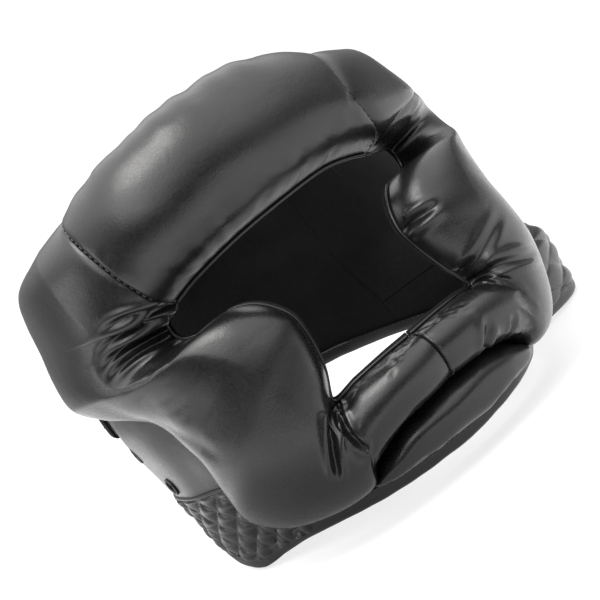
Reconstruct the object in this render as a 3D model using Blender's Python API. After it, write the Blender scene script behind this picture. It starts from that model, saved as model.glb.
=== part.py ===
"""Full-face boxing headgear: padded forehead, cheeks, mouth bar and chin, open crown.

Axes: +X is the wearer's left, the face looks along -Y, +Z is up, in metres.
Every pad is a flat pattern piece laid on one head form.  A pattern point is given
by its angle round the head (degrees, 0 at the nose, 180 at the nape) and its
height (millimetres), and a pad is built up outwards from the form in layers:
lining, foam, and an outer cover.
"""
import math

import bmesh
import bpy
import numpy as np

MM = 0.001

# ---------------------------------------------------------------- head form
FORM_POWER = 2.3                      # section is a superellipse, slightly squared
FORM_HALF_WIDTH = ((0, 86), (50, 90), (120, 92), (160, 88), (190, 79), (210, 67), (225, 50))
FORM_FRONT = ((0, 117), (30, 126), (60, 131), (100, 121), (125, 113), (150, 107),
              (175, 98), (195, 86), (210, 71), (225, 48))
FORM_BACK = ((0, 90), (50, 92), (120, 100), (160, 97), (190, 85), (210, 70), (225, 50))
FLARE_LOW = (5.0, 63.5)              # how far the right and left lower corners splay out
FLARE_HIGH = 7.0                      # how far the ear panels stand out
FLARE_FADE = (30.0, 92.0)            # heights between which the corner flare dies away
SLUMP = 7.0                           # how far the left temple has sunk
CENTRE_X = -18.35                      # these two put the middle of the bounding box on the origin
CENTRE_Y = 17.2
BASE_Z = 2.1                          # puts the underside of the rim binding at zero

# ---------------------------------------------------------------- layers
GAP = 0.3                             # clearance between pieces that touch
LINING = 1.5                          # inner cloth lining with its backing
SKIN = 1.3                            # outer cover
FOAM_CLEAR = 1.35                     # foam to cover
PAD_BASE = LINING + 0.6               # where covers start, just above the lining
FOAM_BASE = LINING + 1.6
FOAM_TRIM = 5.4                       # foam block cut this far inside the pattern outline
OPENING_LIP = 2.2                     # lining edge seen round the face opening
BINDING_HEIGHT = 6.5
BINDING_WALL = 1.0
BINDING_CLEAR = 1.1
PATCH_GAP = 0.7

# ---------------------------------------------------------------- pad thickness
FOREHEAD_FULL = 32.0
FOREHEAD_TOP_EXTRA = 4.0
FOREHEAD_END_LOSS = 0.10              # and thins towards the temple seams
SIDE_FULL = ((0.0, 30), (0.2, 31), (0.33, 33), (0.5, 34), (0.62, 32), (0.72, 28), (0.82, 24), (1.0, 22))
SEAM_END = 0.2                        # share of the side strip that runs along the temple seam
SEAM_CLEAR = 0.42                     # degrees between the forehead and side pieces
SIDE_REAR_LOSS = 0.45                 # the side pad thins towards the ear
CHIN_FULL = 19.0
REAR_FULL = 15.0
ROUND = 2.3                           # roundness of a pad edge
SQUARE = 9.0                          # edge sewn to a neighbour, nearly upright

# ---------------------------------------------------------------- pattern outlines (deg, mm)
FOREHEAD_LOW = ((-41, 136), (-31, 140), (-15, 143.5), (0, 144.5), (13, 144), (22, 141), (30.5, 136.5))
FOREHEAD_TOP = ((-53, 191.5), (-40, 197), (-20, 200.5), (0, 201), (14, 198.5), (25, 194), (34.5, 189))
RIGHT_SEAM = ((53, 191.5), (46.5, 173), (42.5, 154), (41, 136))   # temple seams, top to bottom
LEFT_SEAM = ((34.5, 189), (27.5, 173), (24.5, 153.5), (30.5, 136.5))
FACE_OPENING = ((48, 130), (47, 120), (38, 117), (29, 118), (22.5, 112), (18.5, 101), (18.5, 90),
                (21, 74), (25, 59), (17, 60.5), (8, 61.5), (0.12, 61.5))
SIDE_OPENING = {False: LEFT_SEAM + FACE_OPENING, True: RIGHT_SEAM + FACE_OPENING}
SIDE_OUTER = ((103, 180), (104.5, 173), (105.5, 165), (106, 154), (106.5, 137), (104, 121), (90, 108),
              (72, 92), (68, 68), (68.5, 45), (67, 28), (53, 18.5), (30, 18.5), (24.2, 28),
              (12.4, 36.5), (0.12, 38.5))
CHIN_TOP = ((-29.6, 17.6), (-23.4, 27.0), (-12.0, 35.5), (0, 37.6), (12.0, 35.5), (23.4, 27.0), (29.6, 17.6))
CHIN_LOW = ((-29.6, 17.2), (-20, 15.8), (-10, 14.6), (0, 14.2), (10, 14.6), (20, 15.8), (29.6, 17.2))
EAR_FRONT_SPAN = (8.80, 1.9)         # stretch of the side pad's outer edge the ear panel meets
NECK_FRONT_SPAN = (10.97, 8.84)       # and the stretch the neck panel meets
NECK_TOP = 47.8                       # seam between ear and neck panels
EAR_TOP = 166.0
WING_REAR_ANGLE = 130.0
REAR_HALF_ANGLE = 49.5                # rear pad spans this far each side of the nape
REAR_TOP = 166.0
RIM = ((0, 6.5), (25, 8.5), (55, 9.5), (72, 4.5), (84, 0), (96, 3), (112, 11), (124, 22), (140, 35),
       (160, 42), (180, 45))

# ---------------------------------------------------------------- ear vents
VENTS = ((98, 79), (91, 57))         # angle and height of each punched hole
VENT_DIAMETER = 9.0
EAR_THICK = 3.2
QUILT_DEPTH = 1.6
QUILT_COUNT = 5.0                     # diamonds along a neck panel

# ---------------------------------------------------------------- straps
STRAP_THICK = 2.2
PATCH_THICK = 1.1
CLOSURE_LOW = 88.0
CLOSURE_HIGH = 136.0
CLOSURE_ROOT = 118.0                  # sewn end, on the wearer's left
CLOSURE_TIP = 248.0                   # free end, on the wearer's right
CROWN_HALF_WIDTH = 23.0
CROWN_PATH = ((-75, 197.5), (-57, 200), (-36, 200.5), (-5, 199.5), (25, 195.5), (52, 188.5),
              (72, 180.5), (87, 169.5), (96, 157.5), (100.2, 146))
CROWN_SAG = 4.0                       # straps curve down at their long edges
ROOT_ARCH = 3.4                       # sewn end follows the curved top of the forehead pad
CROWN_FRONT_END = 0.56
CROWN_REAR_START = 0.33

# ---------------------------------------------------------------- colours (linear)
LEATHER = (0.022, 0.022, 0.023, 1.0)
CLOTH = (0.012, 0.012, 0.013, 1.0)
FOAM = (0.16, 0.16, 0.17, 1.0)
TAPE = (0.018, 0.018, 0.019, 1.0)


# ================================================================ form
def table(rows, x):
    """Smooth curve through a small dimension table."""
    rows = np.array(rows, float)
    x = np.clip(np.asarray(x, float), rows[0, 0], rows[-1, 0])
    last = len(rows) - 1
    i = np.clip(np.searchsorted(rows[:, 0], x, side="right") - 1, 0, last - 1)
    step = rows[i + 1, 0] - rows[i, 0]
    s = (x - rows[i, 0]) / step

    def slope(k):
        lo = np.clip(k - 1, 0, last)
        hi = np.clip(k + 1, 0, last)
        return (rows[hi, 1] - rows[lo, 1]) / (rows[hi, 0] - rows[lo, 0])

    m0 = slope(i) * step
    m1 = slope(i + 1) * step
    return ((2 * s**3 - 3 * s**2 + 1) * rows[i, 1] + (s**3 - 2 * s**2 + s) * m0
            + (-2 * s**3 + 3 * s**2) * rows[i + 1, 1] + (s**3 - s**2) * m1)


def ease(x, lo, hi):
    s = np.clip((np.asarray(x, float) - lo) / (hi - lo), 0, 1)
    return s * s * (3 - 2 * s)


def flare(angle, height):
    """Extra stand-off of the ear and neck panels."""
    turn = (np.asarray(angle, float) + 180) % 360 - 180
    a = np.abs(turn)
    zone = ease(a, 66, 90) * (1 - ease(a, 100, 150))
    corner = np.where(turn > 0, FLARE_LOW[1], FLARE_LOW[0])
    low = FLARE_HIGH + (corner - FLARE_HIGH) * (1 - ease(height, *FLARE_FADE))
    return zone * low * (1 - 0.85 * ease(height, 90, 150))


def place(angle, height, lift):
    """Point at a pattern position, lifted off the head form (mm in, metres out)."""
    th = np.radians(np.asarray(angle, float))
    z = np.asarray(height, float)
    s = np.sin(th)
    c = np.cos(th)

    def half(h):
        return table(FORM_HALF_WIDTH, h)

    def deep(h):
        return np.where(c > 0, table(FORM_FRONT, h), table(FORM_BACK, h))

    a = half(z)
    b = deep(z)
    x = a * np.sign(s) * np.abs(s) ** (2 / FORM_POWER)
    y = -b * np.sign(c) * np.abs(c) ** (2 / FORM_POWER)
    da = (half(z + 1) - half(z - 1)) / 2
    db = (deep(z + 1) - deep(z - 1)) / 2
    n = FORM_POWER
    gx = np.sign(x) * np.abs(x) ** (n - 1) / a**n
    gy = np.sign(y) * np.abs(y) ** (n - 1) / b**n
    gz = -(np.abs(x) ** n / a ** (n + 1) * da) - (np.abs(y) ** n / b ** (n + 1) * db)
    size = np.sqrt(gx**2 + gy**2 + gz**2)
    flat = np.sqrt(gx**2 + gy**2)
    out = flare(angle, height)
    turn = (np.asarray(angle, float) + 180) % 360 - 180
    sunk = SLUMP * ease(turn, 0, 50) * (1 - ease(turn, 90, 140)) * ease(height, 125, 185)
    px = x + lift * gx / size + out * gx / flat + CENTRE_X
    py = y + lift * gy / size + out * gy / flat + CENTRE_Y
    pz = z + lift * gz / size - sunk + BASE_Z
    return np.stack([px, py, pz], axis=-1) * MM


def outline(points, s):
    """Smooth pattern outline through even stations, s from 0 to 1."""
    p = np.array(points, float)
    last = len(p) - 1
    s = np.clip(np.asarray(s, float), 0, 1) * last
    i = np.clip(s.astype(int), 0, last - 1)
    f = (s - i)[..., None]
    p1 = p[i]
    p2 = p[i + 1]
    p0 = np.where((i == 0)[..., None], 2 * p1 - p2, p[np.clip(i - 1, 0, last)])
    p3 = np.where((i == last - 1)[..., None], 2 * p2 - p1, p[np.clip(i + 2, 0, last)])
    return 0.5 * (2 * p1 + (p2 - p0) * f + (2 * p0 - 5 * p1 + 4 * p2 - p3) * f**2
                  + (3 * p1 - p0 - 3 * p2 + p3) * f**3)


def rim_height(angle):
    a = np.abs((np.asarray(angle, float) + 180) % 360 - 180)
    return table(RIM, a)


def crown(s, power):
    """Rounded pad section: 0 at the outline, 1 from halfway in."""
    return (1 - np.clip(1 - s, 0, 1) ** power) ** (1 / power)


# ================================================================ pieces
def wipe():
    for obj in list(bpy.data.objects):
        bpy.data.objects.remove(obj)
    for group in list(bpy.data.collections):
        bpy.data.collections.remove(group)


def collection(name):
    group = bpy.data.collections.new(name)
    bpy.context.scene.collection.children.link(group)
    return group


def material(name, colour, roughness, metallic=0.0):
    mat = bpy.data.materials.new(name)
    mat.use_nodes = True
    shader = mat.node_tree.nodes["Principled BSDF"]
    shader.inputs["Base Color"].default_value = colour
    shader.inputs["Roughness"].default_value = roughness
    shader.inputs["Metallic"].default_value = metallic
    mat.diffuse_color = colour
    mat.roughness = roughness
    mat.metallic = metallic
    return mat


def finish(bm, name, look, group, smooth=True):
    bmesh.ops.recalc_face_normals(bm, faces=bm.faces[:])
    if bm.calc_volume(signed=True) < 0:
        bmesh.ops.reverse_faces(bm, faces=bm.faces[:])
    mesh = bpy.data.meshes.new(name)
    bm.to_mesh(mesh)
    bm.free()
    for face in mesh.polygons:
        face.use_smooth = smooth
    obj = bpy.data.objects.new(name, mesh)
    mesh.materials.append(material(name + "_look", *look))
    group.objects.link(obj)
    return obj


def slab(name, columns, rows, lower, upper, look, group):
    """Closed sheet between two surfaces given over the same unit pattern square."""
    bm = bmesh.new()
    bmesh.ops.create_grid(bm, x_segments=columns, y_segments=rows, size=0.5)
    base = bm.verts[:]
    grown = bmesh.ops.extrude_face_region(bm, geom=bm.faces[:], use_keep_orig=True)["geom"]
    raised = [v for v in grown if isinstance(v, bmesh.types.BMVert)]
    for verts, surface in ((base, lower), (raised, upper)):
        u = np.round([v.co.x + 0.5 for v in verts], 6)
        v = np.round([v.co.y + 0.5 for v in verts], 6)
        for vert, spot in zip(verts, surface(u, v)):
            vert.co = spot
    return finish(bm, name, look, group)


def spread(v):
    """Rows closer together near both edges of a pad."""
    return 0.5 - 0.5 * np.cos(np.pi * v)


def between(inner, outer, along, across):
    a = outline(inner, along)
    b = outline(outer, along)
    spot = a + (b - a) * across[..., None]
    return spot[..., 0], spot[..., 1]


def breadth(inner, outer, along):
    """Width of a pattern strip in millimetres at each station."""
    a = outline(inner, along)
    b = outline(outer, along)
    gap = place(a[..., 0], a[..., 1], 0) - place(b[..., 0], b[..., 1], 0)
    return np.linalg.norm(gap, axis=-1) / MM


def inset(across, width, near, far):
    """Move a strip's two edges inwards by distances in millimetres."""
    return near / width + across * (1 - (near + far) / width)


LEATHER_LOOK = (LEATHER, 0.38)
CLOTH_LOOK = (CLOTH, 0.92)
FOAM_LOOK = (FOAM, 0.85)
TAPE_LOOK = (TAPE, 0.5)


# ---------------------------------------------------------------- forehead
FOREHEAD_COLUMNS = 16
FOREHEAD_ROWS = 8


def forehead_along(u):
    return np.interp(u, (0, 1 / 16, 15 / 16, 1), (0, 0.022, 0.978, 1))


def forehead_spot(along, across):
    """Pattern point on the forehead piece, whose ends follow the two temple seams."""
    angle, height = between(FOREHEAD_LOW, FOREHEAD_TOP, along, across)
    share = ease(along, 0.0, 1.0)
    for sign, mirror, weight in ((-1.0, True, 1 - share), (1.0, False, share)):
        seam = outline(SIDE_OPENING[mirror], (1 - across) * SEAM_END)
        end = np.full(np.shape(along), 0.5 + 0.5 * sign)
        square = between(FOREHEAD_LOW, FOREHEAD_TOP, end, across)
        angle = angle + weight * (sign * (seam[..., 0] - SEAM_CLEAR) - square[0])
        height = height + weight * (seam[..., 1] - square[1])
    return angle, height


def forehead_shape(u, v, trim, drop):
    along = forehead_along(u)
    across = spread(v)
    width = breadth(FOREHEAD_LOW, FOREHEAD_TOP, along)
    length = 150.0
    side = trim / length
    angle, height = forehead_spot(side + along * (1 - 2 * side), inset(across, width, trim, trim))
    full = FOREHEAD_FULL + FOREHEAD_TOP_EXTRA * across
    full = full * (1 - FOREHEAD_END_LOSS * np.abs(2 * along - 1) ** 3) - drop
    ends = crown(1 - np.abs(2 * along - 1), SQUARE)
    lift = PAD_BASE + (full - PAD_BASE) * crown(1 - np.abs(2 * across - 1), ROUND) * ends
    return angle, height, lift


def forehead_cover_out(u, v):
    return place(*forehead_shape(u, v, 0.0, 0.0))


def forehead_cover_in(u, v):
    return place(*forehead_shape(u, v, SKIN + 0.2, SKIN))


def forehead_foam_out(u, v):
    angle, height, lift = forehead_shape(u, v, FOAM_TRIM, SKIN + FOAM_CLEAR)
    return place(angle, height, np.maximum(lift, FOAM_BASE + 1.2))


def forehead_foam_in(u, v):
    angle, height, _ = forehead_shape(u, v, FOAM_TRIM, SKIN)
    return place(angle, height, FOAM_BASE)


def forehead_sheet(u, v, lift):
    along = forehead_along(u)
    width = breadth(FOREHEAD_LOW, FOREHEAD_TOP, along)
    lip = OPENING_LIP * (1 - ease(np.abs(2 * along - 1), 0.80, 0.97))
    angle, height = forehead_spot(along, inset(spread(v), width, -lip, 0))
    return place(angle, height, lift)


def build_forehead(group):
    size = (FOREHEAD_COLUMNS, FOREHEAD_ROWS)
    slab("forehead_cover", *size, forehead_cover_in, forehead_cover_out, LEATHER_LOOK, group)
    slab("forehead_foam", *size, forehead_foam_in, forehead_foam_out, FOAM_LOOK, group)
    slab("forehead_lining", *size, lambda u, v: forehead_sheet(u, v, 0.0),
         lambda u, v: forehead_sheet(u, v, LINING), CLOTH_LOOK, group)


# ---------------------------------------------------------------- sides
SIDE_STATIONS = np.concatenate([(0, 0.006, 0.022, 0.048), np.linspace(0.08, 0.730, 18),
                                (0.7335, 0.766, 0.7985, 0.8020), np.linspace(0.836, 1.0, 6)])
SIDE_COLUMNS = len(SIDE_STATIONS) - 1
SIDE_ROWS = 7
SIDE_FOAM_COLUMNS = SIDE_COLUMNS - 7  # the foam block stops where the mouth bar starts
RIM_STRETCH = (0.732, 0.800)          # here the side lining runs down into the binding


def side_station(column):
    return np.interp(column, np.arange(SIDE_COLUMNS + 1), SIDE_STATIONS)


def side_shape(along, v, trim, drop, mirror):
    across = spread(v)
    opening = SIDE_OPENING[mirror]
    width = breadth(opening, SIDE_OUTER, along)
    start = trim / 420.0
    moved = start + along * (1 - start)
    angle, height = between(opening, SIDE_OUTER, moved, inset(across, width, trim, trim))
    up_seam = np.clip(1 - along / SEAM_END, 0, 1)
    matched = (FOREHEAD_FULL + FOREHEAD_TOP_EXTRA * up_seam) * (1 - FOREHEAD_END_LOSS)
    own = table(SIDE_FULL, along)
    full = own + (matched - own) * (1 - ease(across, 0, 0.4)) * (1 - ease(along, 0.15, 0.25))
    rear = np.clip((across - 0.25) / 0.75, 0, 1) * np.clip((0.8 - along) / 0.25, 0, 1)
    full = full * (1 - SIDE_REAR_LOSS * rear) - drop
    at_seam = crown(1 - np.abs(2 * up_seam - 1), ROUND)
    away = crown(2 * across, ROUND)
    section = at_seam + (crown(along / 0.10, ROUND) - at_seam) * away
    wall = np.where(across < 0.5, crown(2 * across, SQUARE), 1.0)
    lift = PAD_BASE + (full - PAD_BASE) * section * crown(2 * (1 - across), ROUND) * wall
    return np.where(mirror, -angle, angle), height, lift


def side_sheet(along, v, lift, mirror):
    across = spread(v)
    opening = SIDE_OPENING[mirror]
    width = breadth(opening, SIDE_OUTER, along)
    lip = OPENING_LIP * ease(along, 0.21, 0.26)
    angle, height = between(opening, SIDE_OUTER, along, inset(across, width, -lip, 0.0))
    low = (along > RIM_STRETCH[0]) & (along < RIM_STRETCH[1]) & (across > 0.999)
    height = np.where(low, rim_height(angle), height)
    return place(np.where(mirror, -angle, angle), height, lift)


def build_side(group, hand, mirror):
    def station(u, count=SIDE_COLUMNS):
        return side_station(u * count)

    slab(hand + "_side_cover", SIDE_COLUMNS, SIDE_ROWS,
         lambda u, v: place(*side_shape(station(u), v, SKIN + 0.2, SKIN, mirror)),
         lambda u, v: place(*side_shape(station(u), v, 0.0, 0.0, mirror)), LEATHER_LOOK, group)

    def foam_out(u, v):
        angle, height, lift = side_shape(station(u, SIDE_FOAM_COLUMNS), v, FOAM_TRIM, SKIN + FOAM_CLEAR, mirror)
        return place(angle, height, np.maximum(lift, FOAM_BASE + 1.2))

    def foam_in(u, v):
        angle, height, _ = side_shape(station(u, SIDE_FOAM_COLUMNS), v, FOAM_TRIM, SKIN, mirror)
        return place(angle, height, FOAM_BASE)

    slab(hand + "_side_foam", SIDE_FOAM_COLUMNS, SIDE_ROWS, foam_in, foam_out, FOAM_LOOK, group)
    slab(hand + "_side_lining", SIDE_COLUMNS, SIDE_ROWS,
         lambda u, v: side_sheet(station(u), v, 0.0, mirror),
         lambda u, v: side_sheet(station(u), v, LINING, mirror), CLOTH_LOOK, group)


def build_mouth_bar(group):
    """Foam roll running through both halves of the mouth bar cover."""
    reach = SIDE_COLUMNS - SIDE_FOAM_COLUMNS - 1
    centre = 0.0

    def bar(u, v, trim, drop):
        step = np.abs(2 * u - 1) * reach
        along = side_station(SIDE_COLUMNS - step)
        angle, height, lift = side_shape(along, v, trim, drop, False)
        angle = np.where(np.isclose(u, 0.5), centre, angle)
        return np.where(u < 0.5, -angle, angle), height, lift

    def outer(u, v):
        angle, height, lift = bar(u, v, FOAM_TRIM, SKIN + FOAM_CLEAR)
        return place(angle, height, np.maximum(lift, FOAM_BASE + 1.2))

    def inner(u, v):
        angle, height, _ = bar(u, v, FOAM_TRIM, SKIN)
        return place(angle, height, FOAM_BASE)

    slab("mouth_bar_foam", 2 * reach, SIDE_ROWS, inner, outer, FOAM_LOOK, group)


# ---------------------------------------------------------------- chin
def chin_shape(u, v, trim, drop):
    along = spread(u)
    across = spread(v)
    width = np.maximum(breadth(CHIN_LOW, CHIN_TOP, along), 2.2 * trim + 0.4)
    side = trim / 105.0
    moved = side + along * (1 - 2 * side)
    angle, height = between(CHIN_LOW, CHIN_TOP, moved, inset(across, width, trim, trim))
    ends = crown(1 - np.abs(2 * along - 1), ROUND)
    lift = PAD_BASE + (CHIN_FULL - drop - PAD_BASE) * crown(1 - np.abs(2 * across - 1), ROUND) * ends
    return angle, height, lift


def build_chin(group):
    slab("chin_cover", 14, 8, lambda u, v: place(*chin_shape(u, v, SKIN + 0.2, SKIN)),
         lambda u, v: place(*chin_shape(u, v, 0.0, 0.0)), LEATHER_LOOK, group)

    def foam_out(u, v):
        angle, height, lift = chin_shape(0.08 + 0.84 * u, v, FOAM_TRIM, SKIN + FOAM_CLEAR + 0.4)
        return place(angle, height, np.maximum(lift, FOAM_BASE + 1.0))

    def foam_in(u, v):
        angle, height, _ = chin_shape(0.08 + 0.84 * u, v, FOAM_TRIM, SKIN)
        return place(angle, height, FOAM_BASE)

    slab("chin_foam", 12, 8, foam_in, foam_out, FOAM_LOOK, group)

    def sheet(u, v, lift):
        along = 0.01 + 0.98 * spread(u)
        low = outline(CHIN_LOW, along)
        top = outline(CHIN_TOP, along)
        angle = low[..., 0] + (top[..., 0] - low[..., 0]) * v
        height = rim_height(angle) + (top[..., 1] - 0.3 - rim_height(angle)) * v
        return place(angle, height, lift)

    slab("chin_lining", 14, 5, lambda u, v: sheet(u, v, 0.0), lambda u, v: sheet(u, v, LINING),
         CLOTH_LOOK, group)


# ---------------------------------------------------------------- ear and neck panels
def beyond_side_pad(span, u):
    """Pattern points just outside the side pad's outer edge, over a stretch of its stations."""
    along = (span[0] + (span[1] - span[0]) * u) / (len(SIDE_OUTER) - 1)
    opening = SIDE_OPENING[False]
    width = breadth(opening, SIDE_OUTER, along)
    return between(opening, SIDE_OUTER, along, 1 + 1.3 / width)


def build_ear(group, cutters, hand, mirror):
    sign = -1.0 if mirror else 1.0

    def sheet(u, v, lift):
        angle, height = beyond_side_pad(EAR_FRONT_SPAN, u)
        start = height[0] if np.ndim(height) == 0 else NECK_TOP + 0.8
        rear = start + (EAR_TOP - start) * u
        height = np.where(u < 0.001, start, height)
        angle = angle + (WING_REAR_ANGLE - angle) * v
        return place(sign * angle, height + (rear - height) * v, lift)

    panel = slab(hand + "_ear_panel", 12, 6, lambda u, v: sheet(u, v, 0.0),
                 lambda u, v: sheet(u, v, EAR_THICK), LEATHER_LOOK, group)
    for number, (angle, height) in enumerate(VENTS):
        low = place(sign * angle, height, -6.0)
        high = place(sign * angle, height, 10.0)
        bm = bmesh.new()
        bmesh.ops.create_cone(bm, cap_ends=True, segments=20, radius1=VENT_DIAMETER / 2 * MM,
                              radius2=VENT_DIAMETER / 2 * MM, depth=16 * MM)
        cutter = finish(bm, "%s_vent_cutter_%d" % (hand, number), TAPE_LOOK, cutters)
        direction = high - low
        yaw = math.atan2(direction[1], direction[0])
        tilt = math.acos(direction[2] / float(np.linalg.norm(direction)))
        cutter.location = (low + high) / 2
        cutter.rotation_euler = (0.0, tilt, yaw)
        cutter.hide_render = True
        cutter.display_type = "WIRE"
        cut = panel.modifiers.new("vent_%d" % number, "BOOLEAN")
        cut.operation = "DIFFERENCE"
        cut.solver = "EXACT"
        cut.object = cutter


NECK_ROWS = 7


def build_neck(group, hand, mirror):
    sign = -1.0 if mirror else 1.0

    def sheet(u, v, upper):
        bend = 0.4
        front, high = beyond_side_pad(NECK_FRONT_SPAN, np.clip(u / bend, 0, 1))
        back = np.clip((u - bend) / (1 - bend), 0, 1)
        front = front + (WING_REAR_ANGLE - front) * back
        high = np.where(u < bend + 0.001, high, NECK_TOP)
        first, _ = beyond_side_pad(NECK_FRONT_SPAN, 0.0 * u)
        foot = first + (WING_REAR_ANGLE - first) * u
        angle = foot + (front - foot) * v
        base = rim_height(foot)
        margin = BINDING_HEIGHT + 0.8
        first_row = 1 / NECK_ROWS
        height = np.where(v < first_row + 0.001, base + margin * v / first_row,
                          base + margin + (high - base - margin) * (v - first_row) / (1 - first_row))
        if not upper:
            return place(sign * angle, height, 0.0)
        along = angle / 74.0 * QUILT_COUNT
        upward = height / 10.5
        ridge = np.abs(np.sin(np.pi * (along + upward) / 2)) * np.abs(np.sin(np.pi * (along - upward) / 2))
        clear = np.where(v > first_row + 0.001, 1.0, 0.0)
        return place(sign * angle, height, LINING + clear * (1.2 + QUILT_DEPTH * ridge))

    slab(hand + "_neck_panel", 20, NECK_ROWS, lambda u, v: sheet(u, v, False), lambda u, v: sheet(u, v, True),
         LEATHER_LOOK, group)


# ---------------------------------------------------------------- rear pad
def rear_shape(u, v, trim, drop):
    along = spread(u)
    across = spread(v)
    side = trim / 130.0
    angle = 180 - REAR_HALF_ANGLE + 2 * REAR_HALF_ANGLE * (side + along * (1 - 2 * side))
    low = rim_height(angle) + BINDING_HEIGHT + 0.8
    width = REAR_TOP - low
    height = low + width * inset(across, width, trim, trim)
    ends = crown(1 - np.abs(2 * along - 1), ROUND + 1)
    lift = PAD_BASE + (REAR_FULL - drop - PAD_BASE) * crown(1 - np.abs(2 * across - 1), ROUND + 1) * ends
    return angle, height, lift


def build_rear(group):
    slab("rear_cover", 14, 7, lambda u, v: place(*rear_shape(u, v, SKIN + 0.2, SKIN)),
         lambda u, v: place(*rear_shape(u, v, 0.0, 0.0)), LEATHER_LOOK, group)

    def foam_out(u, v):
        angle, height, lift = rear_shape(u, v, FOAM_TRIM, SKIN + FOAM_CLEAR + 0.2)
        return place(angle, height, np.maximum(lift, FOAM_BASE + 1.0))

    def foam_in(u, v):
        angle, height, _ = rear_shape(u, v, FOAM_TRIM, SKIN)
        return place(angle, height, FOAM_BASE)

    slab("rear_foam", 14, 7, foam_in, foam_out, FOAM_LOOK, group)

    def sheet(u, v, lift):
        angle = 180 - REAR_HALF_ANGLE + 2 * REAR_HALF_ANGLE * spread(u)
        base = rim_height(angle)
        return place(angle, base + (REAR_TOP - base) * v, lift)

    slab("rear_lining", 14, 7, lambda u, v: sheet(u, v, 0.0), lambda u, v: sheet(u, v, LINING),
         CLOTH_LOOK, group)


# ---------------------------------------------------------------- rim binding
def build_binding(group):
    """Folded tape gripping the bottom rim all round, its ends meeting at the nape."""
    fold = (0, 0.36, 0.44, 0.56, 0.64, 1)
    inside = LINING + BINDING_CLEAR
    drop = BINDING_CLEAR

    def section(v, shell):
        grow = BINDING_WALL if shell else 0.0
        out = inside + grow
        back = -BINDING_CLEAR - grow
        low = -drop - grow
        lift = np.interp(v, fold, (out, out, out - 0.35, back + 0.35, back, back))
        rise = np.interp(v, fold, (BINDING_HEIGHT, low + 0.6, low, low, low + 0.6, BINDING_HEIGHT - 0.8))
        return lift, rise

    def surface(u, v, shell):
        angle = np.interp(u, (0, 0.09, 0.36, 0.64, 0.91, 1), (-179.85, -130, -60, 60, 130, 179.85))
        lift, rise = section(v, shell)
        return place(angle, rim_height(angle) + rise, lift)

    slab("bottom_binding", 72, 5, lambda u, v: surface(u, np.interp(v, np.linspace(0, 1, 6), fold), False),
         lambda u, v: surface(u, np.interp(v, np.linspace(0, 1, 6), fold), True), TAPE_LOOK, group)


# ---------------------------------------------------------------- rear closure
def closure_lift(angle):
    """Height of the strap's inner face: down on the ear panels, over the rear pad between."""
    turn = np.asarray(angle, float)
    a = np.abs(turn - 180)
    rest = EAR_THICK + 2 * GAP + np.where(turn > 180, PATCH_THICK * 2 + 2 * GAP, 0.0)
    return rest + (REAR_FULL + 0.8 - rest) * (1 - ease(a, 40, 56))


def strap_piece(name, group, span, rise, low, high, thick, columns, rows, look):
    def surface(u, v, extra):
        angle = span[0] + (span[1] - span[0]) * u
        height = low + (high - low) * v
        return place(angle, height, rise(angle) + extra)

    return slab(name, columns, rows, lambda u, v: surface(u, v, 0.0),
                lambda u, v: surface(u, v, thick), look, group)


def build_closure(group):
    strap = strap_piece("closure_strap", group, (CLOSURE_ROOT, CLOSURE_TIP), closure_lift,
                        CLOSURE_LOW, CLOSURE_HIGH, STRAP_THICK, 30, 3, TAPE_LOOK)
    patch = (CLOSURE_TIP - 12, CLOSURE_TIP - 1)
    hook = strap_piece("closure_hook_patch", group, patch, lambda a: closure_lift(a) - GAP - PATCH_THICK,
                       CLOSURE_LOW + 3, CLOSURE_HIGH - 3, PATCH_THICK, 4, 3, (CLOTH, 0.8))
    strap_piece("closure_loop_patch", group, (patch[0] - 0.0, patch[1] + 0.5), lambda a: EAR_THICK + 2 * GAP,
                CLOSURE_LOW + 1, CLOSURE_HIGH - 1, PATCH_THICK, 4, 3, (CLOTH, 0.95))
    return strap, hook


# ---------------------------------------------------------------- crown straps
def crown_piece(name, group, start, end, lift, thick, half_width, columns, look):
    def surface(u, v, extra):
        s = start + (end - start) * u
        spot = outline(CROWN_PATH, s)
        ahead = outline(CROWN_PATH, np.clip(s + 0.01, 0, 1))
        behind = outline(CROWN_PATH, np.clip(s - 0.01, 0, 1))
        run = ahead - behind
        run = run / np.linalg.norm(run, axis=-1, keepdims=True)
        side = 2 * v - 1
        height = lift + extra - CROWN_SAG * side**2
        x = half_width * side + CENTRE_X
        arch = ROOT_ARCH * (1 - side**2) * np.clip(1 - s / 0.08, 0, 1)
        y = spot[..., 0] - arch - run[..., 1] * height + CENTRE_Y
        z = spot[..., 1] + run[..., 0] * height + BASE_Z
        return np.stack([x, y, z], axis=-1) * MM

    return slab(name, columns, 4, lambda u, v: surface(u, v, 0.0), lambda u, v: surface(u, v, thick),
                look, group)


def build_crown(group):
    w = CROWN_HALF_WIDTH
    rear_lift = 0.0
    loop_lift = rear_lift + STRAP_THICK + PATCH_GAP
    hook_lift = loop_lift + PATCH_THICK + PATCH_GAP
    front_lift = hook_lift + PATCH_THICK + PATCH_GAP
    front = crown_piece("crown_front_strap", group, 0.0, CROWN_FRONT_END, front_lift - 5.3, STRAP_THICK,
                        w, 14, TAPE_LOOK)
    hook = crown_piece("crown_hook_patch", group, CROWN_REAR_START + 0.03, CROWN_FRONT_END - 0.02,
                       hook_lift - 5.3, PATCH_THICK, w - 2.5, 5, (CLOTH, 0.8))
    crown_piece("crown_loop_patch", group, CROWN_REAR_START + 0.02, CROWN_FRONT_END + 0.04,
                loop_lift - 5.3, PATCH_THICK, w - 2.0, 5, (CLOTH, 0.95))
    crown_piece("crown_rear_strap", group, CROWN_REAR_START, 1.0, rear_lift - 5.3, STRAP_THICK, w, 14, TAPE_LOOK)
    return front, hook


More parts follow.
